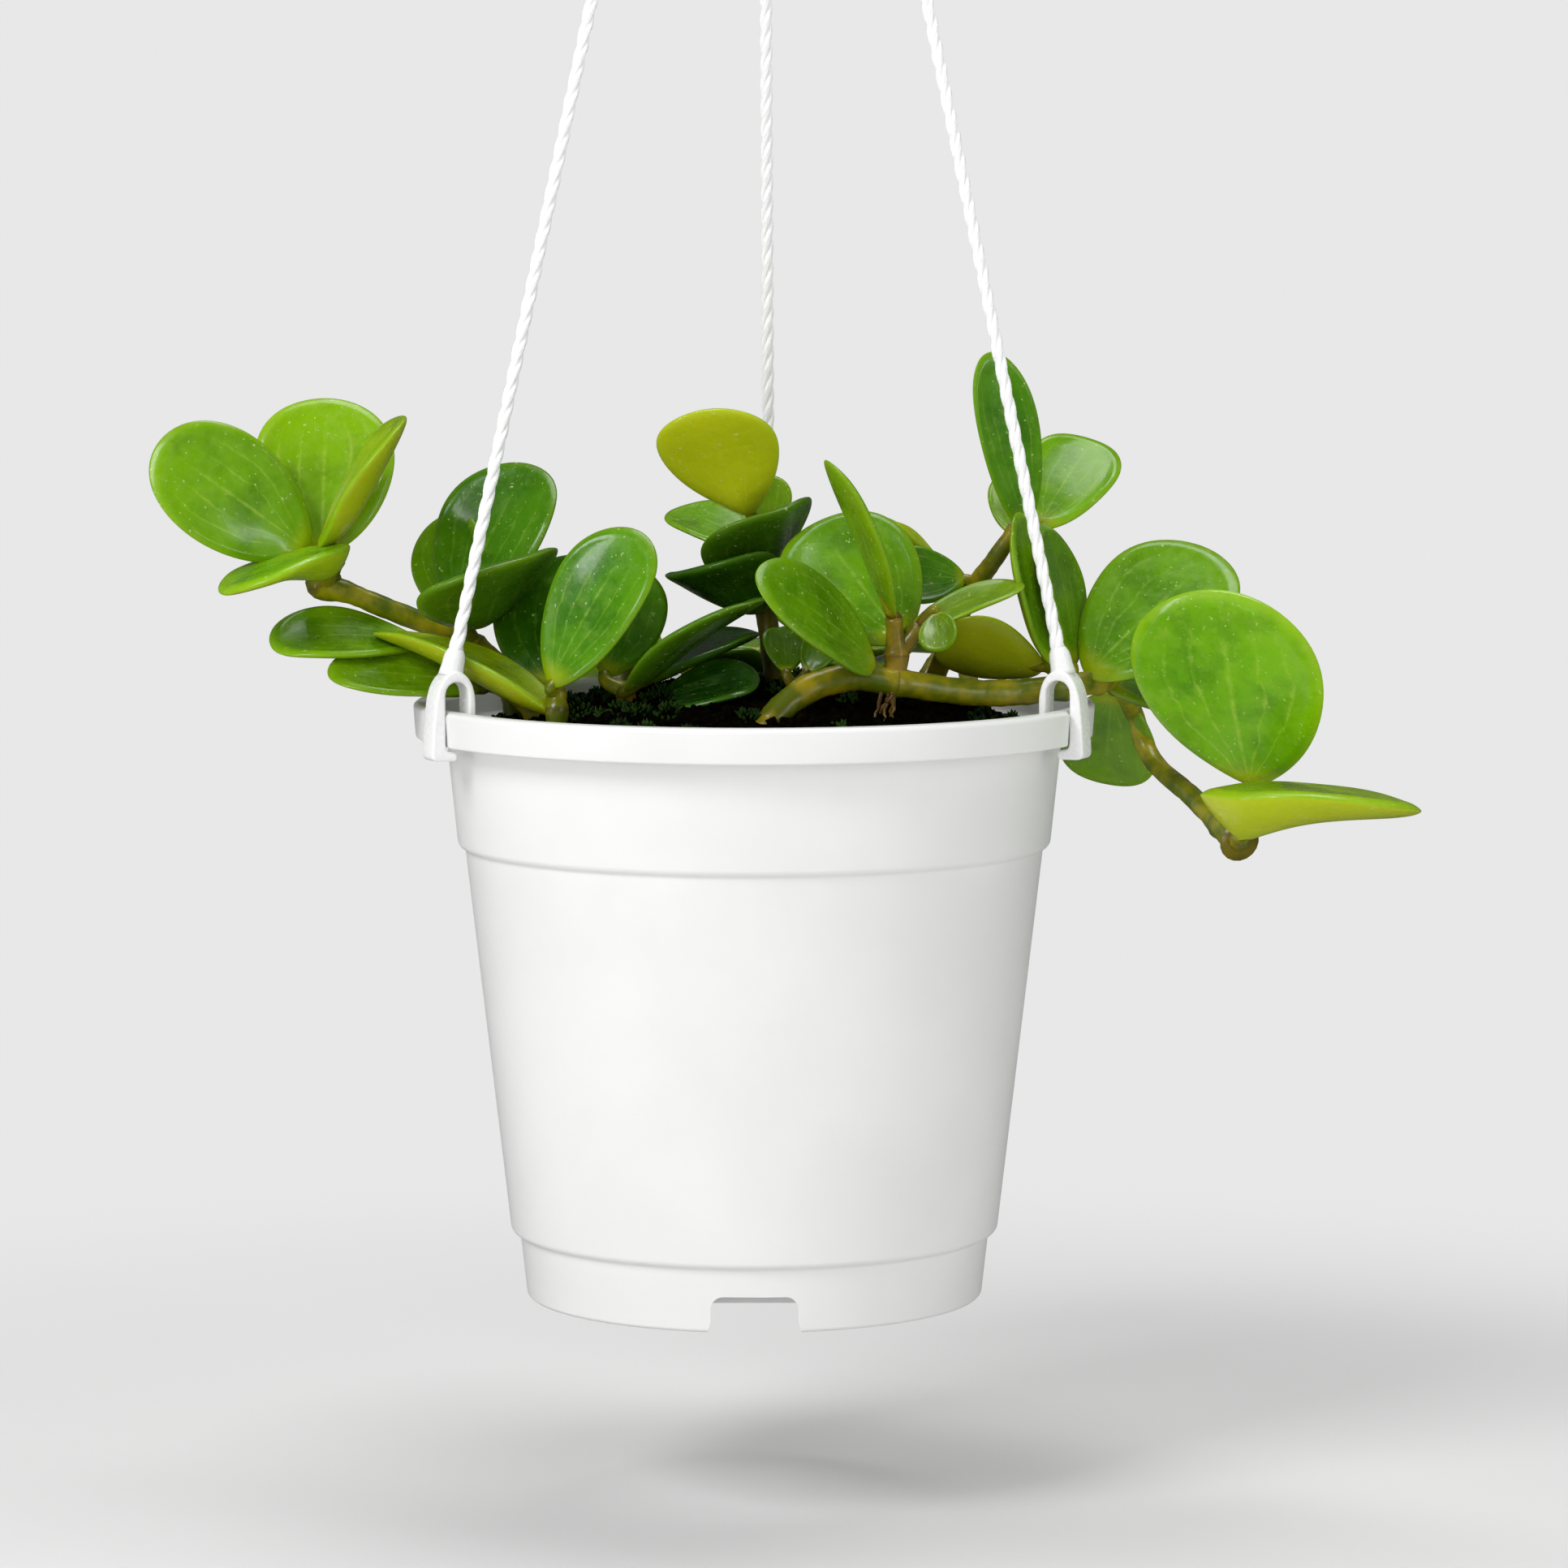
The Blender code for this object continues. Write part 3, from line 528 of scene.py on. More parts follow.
def rounded(outline, radius, steps):
    """An open outline with each inner corner replaced by a small arc."""
    points = [np.array(point, float) for point in outline]
    result = [points[0]]
    for before, corner, beyond in zip(points, points[1:], points[2:]):
        cut = min(radius, *(CORNER_SHARE * norm(point - corner) for point in (before, beyond)))
        start = corner + unit(before - corner) * cut
        stop = corner + unit(beyond - corner) * cut
        for t in np.linspace(0, 1, steps + 1):
            result.append(start * (1 - t) ** 2 + corner * 2 * t * (1 - t) + stop * t * t)
    result.append(points[-1])
    return result


def turned(shape, outline, segments, centre=(0, 0), radius_at=None):
    """A closed solid turned about an upright axis from (radius, height) points."""
    angles = turns(segments)
    rings = []
    for radius, height in outline:
        around = np.full(segments, max(radius, 0.01))
        if radius_at is not None:
            around = radius_at(around, height, angles)
        rings.append(np.stack([centre[0] + around * np.sin(angles), centre[1] - around * np.cos(angles),
                               np.full(segments, height)], axis=-1))
    shape.loft(rings)


def radial_matrix(azimuth):
    """Local X points outwards at that azimuth from the front, local Z up, from plan to world."""
    angle = math.radians(azimuth)
    outward = Vector((math.sin(angle), -math.cos(angle), 0))
    upward = Vector((0, 0, 1))
    turn = Matrix((outward, upward.cross(outward), upward)).transposed().to_4x4()
    shift = Matrix.Translation(Vector((-HANG_X, 0, -HANG_DROP)) * MM)
    return shift @ Matrix.Scale(MM, 4) @ turn


def prism(name, outline, thickness, matrix):
    """An outline in the local XZ plane, given thickness along Y, set by the matrix."""
    bm = bmesh.new()
    loops = []
    for side in (-0.5, 0.5):
        loops.append([bm.verts.new(matrix @ Vector((u, side * thickness, w))) for u, w in outline])
    bm.faces.new(loops[0])
    bm.faces.new(list(reversed(loops[1])))
    for step in range(len(outline)):
        after = (step + 1) % len(outline)
        bm.faces.new((loops[0][step], loops[1][step], loops[1][after], loops[0][after]))
    bmesh.ops.recalc_face_normals(bm, faces=bm.faces)
    return mesh_from(name, bm)


def notched(around, height, angles):
    """The rim's band drawn in where the clips sit on it."""
    if height < NOTCH_TOP:
        return around
    for azimuth in STRAND_AZIMUTH.values():
        off = np.abs((angles - math.radians(azimuth) + math.pi) % math.tau - math.pi)
        aside = off * around
        inside = np.clip((NOTCH_WIDTH / 2 + NOTCH_BLEND / 2 - aside) / NOTCH_BLEND, 0, 1)
        inside = inside * inside * (3 - 2 * inside)
        around = around + (np.minimum(around, NOTCH_RADIUS) - around) * inside
    return around


def drain_cutter(azimuth):
    """An arched notch through the foot wall that reaches into the floor."""
    half = DRAIN_WIDTH / 2
    top = FOOT_Z + DRAIN_HEIGHT - DRAIN_CORNER
    profile = [(-half - DRAIN_FLARE, FOOT_Z - 1), (half + DRAIN_FLARE, FOOT_Z - 1),
               (half, FOOT_Z + DRAIN_FLARE_HEIGHT)]
    for side in (1, -1):
        for angle in np.linspace(0, math.pi / 2, 9)[::side]:
            profile.append((side * (half - DRAIN_CORNER + DRAIN_CORNER * math.cos(angle)),
                            top + DRAIN_CORNER * math.sin(angle)))
    profile.append((-half, FOOT_Z + DRAIN_FLARE_HEIGHT))
    turn = Matrix.Rotation(math.pi / 2, 4, "Z")
    shift = Matrix.Translation(Vector(((DRAIN_INNER + DRAIN_OUTER) / 2, 0, 0)))
    return prism("drain", profile, DRAIN_OUTER - DRAIN_INNER, radial_matrix(azimuth) @ shift @ turn)


def add_pot():
    shape = Shape()
    turned(shape, rounded(POT_OUTLINE, POT_EDGE, 4), POT_SEGMENTS, radius_at=notched)
    pot = new_object("pot_raw", shape.mesh("pot_raw"))
    cutters = [new_object("drain", drain_cutter(azimuth)) for azimuth in DRAIN_AZIMUTHS]
    for cutter in cutters:
        cut = pot.modifiers.new("drain", "BOOLEAN")
        cut.operation = "DIFFERENCE"
        cut.solver = "EXACT"
        cut.object = cutter
    mesh = baked(pot)
    for cutter in cutters:
        bpy.data.objects.remove(cutter, do_unlink=True)
    mesh.shade_smooth()
    mesh.set_sharp_from_angle(angle=math.radians(50))
    material = plastic_material("satin_plastic", 0.36, (0.83, 0.83, 0.825), 0.00004)
    add_piece("moulded_pot", mesh, [material], "white_plastic", "pot")


def clip_outline():
    """The bent strap seen along the rim, evenly spaced: legs, arch and turned-in foot."""
    outline = list(CLIP_OUTSIDE)
    for angle in np.linspace(math.pi, 0, 13):
        outline.append((CLIP_ARCH_CENTRE[0] + CLIP_ARCH_RADIUS * math.cos(angle),
                        CLIP_ARCH_CENTRE[1] + CLIP_ARCH_RADIUS * math.sin(angle)))
    outline += CLIP_HOOKED_FOOT
    middle = (np.array(outline[-1]) + outline[0]) / 2
    points = np.array(rounded([middle] + outline + [middle], CLIP_CORNER, 5))
    steps = norm(np.diff(points, axis=0), axis=1)
    length = np.concatenate([[0], np.cumsum(steps)])
    even = np.linspace(0, length[-1], CLIP_POINTS, endpoint=False)
    points = np.stack([np.interp(even, length, points[:, axis]) for axis in (0, 1)], axis=-1)
    for repeat in range(3):
        points = (np.roll(points, 1, axis=0) + 2 * points + np.roll(points, -1, axis=0)) / 4
    return points


def cushioned(outline, thickness, edge, matrix):
    """A closed outline given thickness along local Y, its rims rounded over."""
    ways = np.roll(outline, -1, axis=0) - np.roll(outline, 1, axis=0)
    ways /= norm(ways, axis=1)[:, None]
    inward = np.stack([-ways[:, 1], ways[:, 0]], axis=-1)
    bm = bmesh.new()
    rings = []
    for side in (-1, 1):
        for turn in np.linspace(0, math.pi / 2, 6)[::side]:
            flat = outline + inward * edge * (1 - math.cos(turn))
            out = side * (thickness / 2 - edge + edge * math.sin(turn))
            rings.append([bm.verts.new(matrix @ Vector((u, out, w))) for u, w in flat])
    for before, after in zip(rings, rings[1:]):
        for step in range(len(outline)):
            beyond = (step + 1) % len(outline)
            bm.faces.new((before[step], before[beyond], after[beyond], after[step]))
    bm.faces.new(rings[0])
    bm.faces.new(rings[-1])
    bm.normal_update()
    bmesh.ops.triangulate(bm, faces=[face for face in bm.faces if len(face.verts) > 4])
    bmesh.ops.recalc_face_normals(bm, faces=bm.faces)
    return mesh_from("strap", bm)


def add_clips(material):
    for side, azimuth in STRAND_AZIMUTH.items():
        strap = cushioned(clip_outline(), CLIP_WIDTH, CLIP_EDGE, radial_matrix(azimuth))
        foot, apex = strand_line(azimuth)
        way = unit(apex - foot)
        neck = Shape()
        neck.tube([foot + way * along for along, radius in CLIP_NECK],
                  [radius for along, radius in CLIP_NECK], ROUND_SIDES)
        bm = bmesh.new()
        bm.from_mesh(strap)
        bm.from_mesh(neck.mesh("neck"))
        mesh = mesh_from("clip", bm)
        mesh.shade_smooth()
        add_piece("moulded_clip_" + side, mesh, [material], "white_plastic", "clip_" + side)


def add_hook(material):
    shape = Shape()
    outline = [(radius, height + HANG_DROP) for radius, height in HUB_OUTLINE]
    turned(shape, rounded(outline, HUB_EDGE, 4), 64, centre=(HANG_X, 0))
    start, stop = [math.radians(angle) for angle in HOOK_ARC]
    bend = HOOK_MOUTH + HOOK_ROD
    centre, shank, lead = [np.array((HANG_X, 0, HANG_DROP + height))
                           for height in (-HOOK_MOUTH, HUB_TOP_Z - 4, HOOK_LEAD_Z)]
    join = centre + bend * np.array((math.cos(start), 0, math.sin(start)))
    pull = join - HOOK_PULL
    path = [shank * (1 - t) ** 3 + lead * 3 * t * (1 - t) ** 2 + pull * 3 * t * t * (1 - t) + join * t ** 3
            for t in np.arange(16) / 16]
    path += [centre + bend * np.array((math.cos(angle), 0, math.sin(angle)))
             for angle in np.linspace(start, stop, 49)]
    radii = [HOOK_ROD] * (len(path) - len(HOOK_END)) + [HOOK_ROD * share for share in HOOK_END]
    shape.tube(path, radii, ROUND_SIDES)
    mesh = moulded(shape.mesh("hook_raw"), HOOK_SKIN, 3)
    add_piece("moulded_hook", mesh, [material], "white_plastic", "hook")


# Foliage

# A stem is where it stands in the mix, its route with its radius at each point, its leaves, its
# side shoots, how brown it is at its foot and its tip, and its brightness; a low brightness
# paints shade on a stem deep in the plant
Stem = namedtuple("Stem", "root route leaves branches age bright", defaults=((), (0.6, 0.15), 0.5))
# A leaf is the route point that it grows from, its blade's base and tip, the way its upper face
# looks, its width, its brightness (partly the leaf's own tone, partly painted shade on leaves deep
# in the plant), how yellow it is, its cup and its bend
Leaf = namedtuple("Leaf", "node base tip facing width bright yellow cup bend", defaults=(0.1, 0.1))
STEM_DEPTH = 16
STEM_FOOT_Z = -4
STEMS = {
    "stem_left": Stem((-42, 0), [((-44, 3, 4), 2), ((-49, 5, 9), 1.9), ((-54, 4, 11.6), 1.9),
        ((-64, 1, 15.8), 1.9), ((-71, 0, 18.8), 1.9), ((-75.5, 0, 20.5), 2.7), ((-74.5, 0, 25), 2.4)], [
        (6, (-78.2, -1.3, 26.2), (-103.9, -7.9, 45.2), (3.2, -9, 1.3), 21.1, 0.7, 0.15),
        (6, (-76.2, 3.3, 25), (-75.8, 14.5, 52.5), (0.2, -9, 2.8), 24.8, 0.9, 0.25, 0.04, 0.08),
        (6, (-76, -2, 26.5), (-60.3, -10, 49.5), (-9, -1.4, 6), 19, 0.85, 0.6),
        (5, (-70.9, -4.7, 27.5), (-91.8, -16.4, 20), (-2.6, -1.2, 9), 19, 1, 0.25, 0.03, 0.03),
        (1, (-52.3, 4.3, 14.3), (-39.3, 13.1, 40.7), (-5.1, -9, 5.5), 23.3, 0.3, 0),
        (1, (-52.1, 8.8, 13.3), (-54.5, 15.6, 31.9), (-6.1, -9, 2.5), 15.6, 0.5, 0.1),
        (1, (-50.4, 1.7, 13.7), (-42.3, -17.5, 25.25), (-4.5, 3.6, 9), 27.5, 0.3, 0, 0.05, 0.06),
    ], age=(0.55, 0)),
    "stem_low_left": Stem((-38, -9), [((-41, -8, 1), 1.8), ((-47, -6, 4), 1.7), ((-54, -4, 6), 1.4)], [
        (2, (-58, -2.8, 10), (-84.5, -8.9, 10.7), (1, -4, 9), 17.6, 0.7, 0.15),
        (1, (-47.5, -7.5, 2.6), (-73.9, -15.9, 5.6), (3, -4.4, 9), 14.5, 0.5, 0.2),
    ]),
    "stem_front_left": Stem((-34, -22), [((-34, -22, 0), 1.8), ((-34, -21, 3), 1.4)], [
        (1, (-35.4, -9.4, 2.6), (-32.5, 7.6, 25.1), (-4.3, -9, 7.3), 25, 0.15, 0, 0.05),
        (1, (-34.9, -23, 4.1), (-19.3, -21.8, 30.7), (-5.7, -9, 3.8), 19.3, 0.5, 0, 0.08),
        (0, (-33.4, -20, -0.9), (-66.3, -6.2, 12.4), (3.3, -0.9, 9), 15.4, 0.8, 0.6, 0.1, 0.2),
    ], age=(0.6, 0.3), bright=0.35),
    "stem_front_middle": Stem((-22, -15), [((-22, -15, 0), 1.8), ((-22.5, -16, 3), 1.5)], [
        (1, (-26, -15, 5.4), (-22, -4, 25.2), (6.3, -9, 3.7), 17.1, 0.45, 0),
        (1, (-22.3, -18, 3), (1, -33.7, 19.9), (-5, 2, 8), 17, 0.2, 0, 0.06),
        # These two low leaves are nearly black: painted shade low among the stems
        (1, (-20, -13, 4), (0, -2, 12), (-3, -2, 9), 17, 0.03, 0),
        (0, (-18, -17, 0), (1, -18, 5), (-2, -4, 9), 15, 0.03, 0),
    ], age=(1, 0.9)),
    # This stem in the middle of the plant and its darkest leaves are set dark: painted shade deep in the
    # plant
    "stem_centre": Stem((4, -2), [((4, -1, 1), 2), ((3, 2, 9), 1.9), ((2, 4, 16), 1.8),
        ((1, 5, 24), 1.7), ((0, 5, 30), 1.4)], [
        (4, (-0.5, 2.9, 32.4), (-9.6, -10.3, 51.1), (1.6, 9, 7.2), 21.9, 1, 1, -0.01),
        (3, (0.3, 7.2, 26), (-14.3, 21, 32.3), (0, -4.4, 9), 12.8, 0.6, 0.1),
        (2, (-0.3, 5, 20), (3.4, -13.4, 33.8), (-6, 5.6, 9), 22, 0.15, 0, 0.12),
        (2, (1.5, 3, 16.2), (-10.3, -12.2, 23.6), (0.3, 4.1, 9), 21.5, 0.03, 0, 0.12),
        (3, (2, 7, 29), (3, 12, 39), (2, -9, 3), 8, 0.6, 0.3),
    ], age=(0.7, 0.3), bright=0.1),
    "stem_main": Stem((2, -33), [((3, -31, -1), 2.5), ((9, -28, 4), 2.5), ((17, -26, 6), 2.4),
        ((24, -24, 5), 2.4), ((36, -20, 3), 2.3), ((45, -17, 2.6), 2.3), ((54, -12, 3.2), 2.2),
        ((60, -7, 3.6), 2), ((65, 7, 2.5), 1.8), ((68, 21, -4), 1.8), ((71.5, 19, -12.5), 1.8),
        ((77, 1, -17), 1.8), ((81.5, -12, -21), 2.2), ((84, -20, -23), 2.9)], [
        (6, (50.7, -7.5, 6.5), (31.6, -4.5, 9.3), (1.1, 9, 8.4), 15.7, 1, 0.8),
        (6, (52.2, -11.6, 6.4), (45.4, -13.9, 33.6), (9, -3.6, 1.7), 15, 0.65, 0.2, 0.1, -0.2),
        (6, (55.5, -8, 6.3), (50.4, -2.3, 30.9), (9, -4, 2.5), 16.4, 0.45, 0.1),
        (7, (58.3, -10.3, 4.6), (81.8, -2.6, 25.3), (-4.3, -9, 8.1), 27.3, 0.6, 0.1, 0.08),
        (7, (62, -3, 3), (78, 11, -2), (2, -5, 8), 20, 0.35, 0.1),
        (8, (64.4, 19.5, 0), (64, 31.5, -17.9), (-3, -8.5, -5), 18.5, 0.5, 0.15, 0.06),
        (12, (86.8, -12.8, -14), (79.5, -31, 21.1), (-4.9, -9, -5.5), 35.6, 0.95, 0.1, 0.05),
        (13, (76.3, -31, -14.2), (114.2, -30.4, -16.9), (0.6, 0.2, 9), 26.7, 1, 0.5, 0.03, 0.15),
        (3, (21.1, -24.7, 7.3), (0.4, -40.3, 24.2), (9, -6, 5.5), 17, 0.5, 0.1, 0.08),
        (14, (25.2, -19, 11.3), (10.1, -7.1, 31.2), (1, -8.6, 5), 24.5, 0.55, 0.1, 0.08),
        (15, (23.9, -23.4, 16.2), (12.3, -32.7, 43.4), (9, 2.6, 4.8), 13, 0.6, 0.1, 0.06),
        (16, (26.5, -22.5, 13.5), (46.6, -19.8, 21.5), (-2.8, -3.8, 9), 10, 0.6, 0.4),
        (16, (31.2, -24.2, 17.2), (32.4, -27, 10.6), (-4, -8, 1), 7.5, 0.35, 0.3),
    ], branches=[
        (3, [((24.5, -23.5, 9.5), 1.9), ((24, -24, 16), 1.3)]),
        (14, [((28.5, -22.8, 14.3), 1.4)]),
    ], age=(0.6, 0)),
    "sprig_front": Stem((5, -23), [((6, -22, 1), 1.3), ((7, -22, 4), 1.2)], [
        (1, (5.5, -22, 6.5), (4.5, -17, 14), (3, -8, 3), 8, 0.12, 0.1),
        (1, (9, -22, 6.5), (13.5, -19, 13), (-2, -8, 4), 7, 0.12, 0.1),
    ]),
    "stem_right": Stem((30, 16), [((32, 14, 2), 1.8), ((35, 10, 10), 1.8), ((38, 6, 18), 1.7),
        ((42, 3, 24), 1.6), ((46, 2, 30), 1.3)], [
        (2, (33, 10.3, 22.6), (20.7, 14.7, 31.3), (6.4, -0.1, 9), 15, 0.8, 0.8),
        (2, (37.4, 4.3, 20.9), (21.6, 2.1, 21.4), (1.2, -9, 5), 11.4, 0.35, 0),
        (4, (47.7, 2, 29.5), (40.7, -4.3, 61.1), (4, -9, -0.9), 11.8, 0.5, 0, 0.14),
        (4, (50, 4.3, 29.8), (60.9, 17.9, 45), (-0.7, -9, 8.3), 16.8, 0.75, 0.1),
        (4, (45.5, 4.9, 28.8), (46.2, 14.2, 39.6), (-1.8, -9, 7.6), 8.8, 0.45, 0.2),
    ], age=(0.6, 0.5)),
    "stem_back_left": Stem((-22, 20), [((-22, 20, 1), 1.8), ((-22.5, 22, 7), 1.7), ((-24, 25, 14), 1.4)], [
        (1, (-25, 23, 8), (-37, 37, 8), (2, 2, 9), 18, 0.4, 0.1, 0.12),
        (1, (-22, 26, 9), (-29, 48, 10), (0, -3, 9), 17, 0.5, 0.1, 0.1, 0.15),
        (2, (-26, 27, 15), (-36, 46, 17), (-1, -5, 8), 17, 0.3, 0),
        (2, (-23, 22, 15), (-22, 8, 13), (0, 4, 9), 13, 0.05, 0),
    ]),
    "stem_back_right": Stem((16, 18), [((16, 18, 1), 1.8), ((17, 20, 7), 1.7), ((18, 23, 13), 1.4)], [
        (1, (15, 22, 8), (8, 44, 13), (1, -3, 9), 18, 0.5, 0.1, 0.1, 0.15),
        (1, (19, 23, 7), (23, 40, 3), (0, 3, 9), 16, 0.4, 0.1, 0.12),
        (0, (17, 15, 3), (20, -6, 6), (0, -4, 8), 14, 0.15, 0),
        (2, (18, 25, 15), (20, 40, 23), (2, -6, 6), 16, 0.5, 0.1),
    ]),
    "stem_back_middle": Stem((4, 32), [((4, 32, 0), 1.6), ((4, 33, 4), 1.4)], [
        (1, (7, 35.5, 6), (15, 51, 7), (0, -2, 9), 15, 0.4, 0.2),
        (1, (2, 36, 6), (-5, 52, 5), (0, -2, 9), 17, 0.5, 0.2),
        (0, (1, 30, 2), (-10, 21, 6), (1, 3, 9), 15, 0.2, 0),
    ]),
    "trailing_stem_back_left": Stem((-10, 36), [((-10, 37, 0), 1.9), ((-14, 45, 4), 1.9),
        ((-19, 54, 5), 1.8), ((-23, 61, 3), 1.8), ((-26, 66, -6), 1.8), ((-28, 69, -18), 1.7),
        ((-29, 70, -30), 1.4)], [
        (1, (-17, 45, 6), (-38, 53, 9), (0, -3, 9), 19, 0.5, 0.1),
        (2, (-16, 57, 5), (-8, 76, -2), (-1, -2, 9), 18, 0.6, 0.2, 0.1, 0.15),
        (3, (-26, 62, 2), (-44, 76, -6), (1, 2, 9), 20, 0.6, 0.1, 0.1, 0.15),
        (4, (-24, 69, -7), (-8, 86, -18), (2, 6, 8), 20, 0.7, 0.1, 0.1, 0.15),
        (5, (-30, 71, -20), (-42, 80, -40), (-4, 6, 5), 20, 0.8, 0.2, 0.1, 0.15),
        (6, (-28, 72, -32), (-24, 82, -54), (1, 9, 3), 20, 0.9, 0.3, 0.1, 0.15),
    ]),
    "trailing_stem_back_right": Stem((30, 32), [((31, 34, 0), 1.8), ((33, 40, 3), 1.8),
        ((36, 47, 5), 1.8), ((39, 53, 2), 1.7), ((41, 58, -8), 1.7), ((42, 60, -20), 1.4)], [
        (2, (36, 49, 6), (22, 66, 3), (1, -2, 9), 19, 0.6, 0.1, 0.1, 0.15),
        (4, (41, 58, -9), (26, 76, -20), (-2, 7, 6), 19, 0.7, 0.2, 0.1, 0.15),
        (5, (42, 61, -22), (44, 72, -45), (2, 9, 2), 19, 0.8, 0.2, 0.1, 0.15),
    ]),
}
BLADE_SIDES = 72
WIDTH_STEPS = 120
BLADE_RINGS = (0.05, 0.14, 0.26, 0.38, 0.5, 0.62, 0.72, 0.79, 0.84, 0.88, 0.915, 0.945, 0.97,
               0.988, 0.997, 1)
BLADE_HALF = 0.72
BLADE_SWELL = 0.22
BLADE_RUFFLES = ((2, 0.28), (5, 0.14))
FULL_BLADE = 20

# A blade's form: how thick it is, how deep the funnel under its base is, how far along the blade
# that lies, how wide and how pointed it is, how much broader the tip is than the base, how narrow
# the base is, and whether the stalk joins in the funnel
Form = namedtuple("Form", "thick keel keel_at spread power egg neck shield",
                  defaults=(1.25, 0.9, 0.06, 0.3, 2, 0.2, 0.22, False))
FORMS = {
    ("stem_left", 2): Form(keel=2, keel_at=0.3, spread=0.5),
    ("stem_left", 3): Form(thick=1.4, keel=3.6, keel_at=0.18, shield=True),
    ("stem_left", 6): Form(thick=1.5, keel=2.5, keel_at=0.15, spread=0.4),
    ("stem_front_left", 2): Form(thick=1.5, keel=2.2, keel_at=0.25, spread=0.5, egg=0, neck=0),
    ("stem_main", 6): Form(thick=1.4, keel=0.8, keel_at=0.04, egg=0.3),
    ("stem_main", 7): Form(thick=1.5, keel=7.6, keel_at=0.2, spread=0.36, power=1, egg=0.1, shield=True),
    ("stem_main", 10): Form(thick=1.6),
    ("stem_main", 11): Form(keel=1.8, keel_at=0.1),
    ("stem_centre", 0): Form(keel=1.6, keel_at=0.08, egg=0.42, neck=0.4),
    ("stem_centre", 2): Form(keel=2, keel_at=0.2, spread=0.4),
    ("stem_centre", 3): Form(keel=2, keel_at=0.2, spread=0.4),
}
BLADE_NECK_REACH = 0.1
BLADE_BRIM = 0.38
BLADE_BRIM_AT = 0.9
BLADE_BRIM_HALF = 0.07
STALK_RADIUS = 1.15
STALK_REACH = 0.55
STALK_SLACK = 0.35
STALK_FLARE = 0.35
STALK_SIDES = 12
STALK_POINTS = 9
RIB_POINTS = 11
RIB_TAPER = (0.85, 0.55)
SHIELD_STALK = (1.9, 1.5)
FULL_STALK = 16
STEM_SIDES = 18
STEM_PIECES = 8
STALK_AGE = 0.35
BRANCH_AGE = (0.8, 0.6)
BRANCH_STALK_AGE = 0.9
JOINT_SWELL = 0.22
JOINT_REACH = 1.1
ROOT_COUNT = 6
ROOT_START = (23.3, -25.6, 3.4)
ROOT_POINTS = 8
ROOT_RADII = (0.42, 0.16)
ROOT_FROM = ((-1.2, 1.2), (-0.5, 0.3))
ROOT_RUN = ((-3.2, 0.6), (-2, 0.2), (-6.5, -3.5))
ROOT_WANDER = 0.35


def blade_outline(count, form):
    """Points around a blade: the share of its length from the base and of its width aside."""
    fine = np.linspace(0, math.pi, 181)
    widest = (np.sin(fine) * (1 - form.egg * np.cos(fine))).max()
    angles = turns(count)
    u = 0.5 * (1 - np.cos(angles))
    v = 0.5 * np.sin(angles) * (1 - form.egg * np.cos(angles)) / widest
    return u, v * (1 - form.neck * np.exp(-u / BLADE_NECK_REACH))


def half_width(u, form):
    """Half of a blade's width, as a share of its full width, at a share of its length."""
    edge_u, edge_v = blade_outline(2 * WIDTH_STEPS, form)
    half = slice(WIDTH_STEPS + 1)
    return np.interp(u, edge_u[half], edge_v[half])


def blade_frame(leaf):
    """A blade's base, its length, and its ways along, out of its face and aside."""
    base, tip, facing = [np.array(value, float) for value in (leaf.base, leaf.tip, leaf.facing)]
    along = unit(tip - base)
    normal = unit(facing - along * facing.dot(along))
    return base, norm(tip - base), along, normal, np.cross(normal, along)


def add_blade(shape, leaf, form, rng):
    base, length, along, normal, aside = blade_frame(leaf)
    width = leaf.width
    edge_u, edge_v = blade_outline(BLADE_SIDES, form)
    wave = [rng.uniform(0, math.tau) for step in range(3)]
    thick = form.thick
    scale = min(width / FULL_BLADE, 1)
    angles = turns(BLADE_SIDES)
    ruffle = sum(depth * scale * np.sin(waves * angles + shift)
                 for (waves, depth), shift in zip(BLADE_RUFFLES, wave))
    rings, places, tones = [], [], []
    for way in (1, -1):
        reach = BLADE_RINGS if way > 0 else BLADE_RINGS[-2::-1]
        for r in reach:
            u = 0.5 + r * (edge_u - 0.5)
            v = r * edge_v
            above = leaf.cup * width * (2 * v) ** 2 + leaf.bend * length * (0.25 - (u - 0.5) ** 2)
            lift = (BLADE_HALF + BLADE_SWELL * (1 - r * r)) * scale * thick
            if way > 0:
                lift += BLADE_BRIM * scale * math.exp(-((r - BLADE_BRIM_AT) / BLADE_BRIM_HALF) ** 2)
            lift = lift * math.sqrt(max(1 - r ** (10 / thick), 0))
            if way < 0:
                off = np.hypot((u - form.keel_at) * length, v * width) / (form.spread * length)
                lift = lift + form.keel * scale * np.exp(-off ** form.power) * (1 - r ** 5)
            rise = above + way * lift + ruffle * r ** 3
            rings.append(base + np.outer(u * length, along) + np.outer(v * width, aside)
                         + np.outer(rise, normal))
            t = v / np.maximum(half_width(u, form), 0.02)
            places.append(np.stack([u, np.abs(t), np.full(BLADE_SIDES, r)], axis=-1))
            tones.append(np.tile((leaf.bright, leaf.yellow, way), (BLADE_SIDES, 1)))
    shape.loft(rings, 0, np.array(places), np.array(tones))


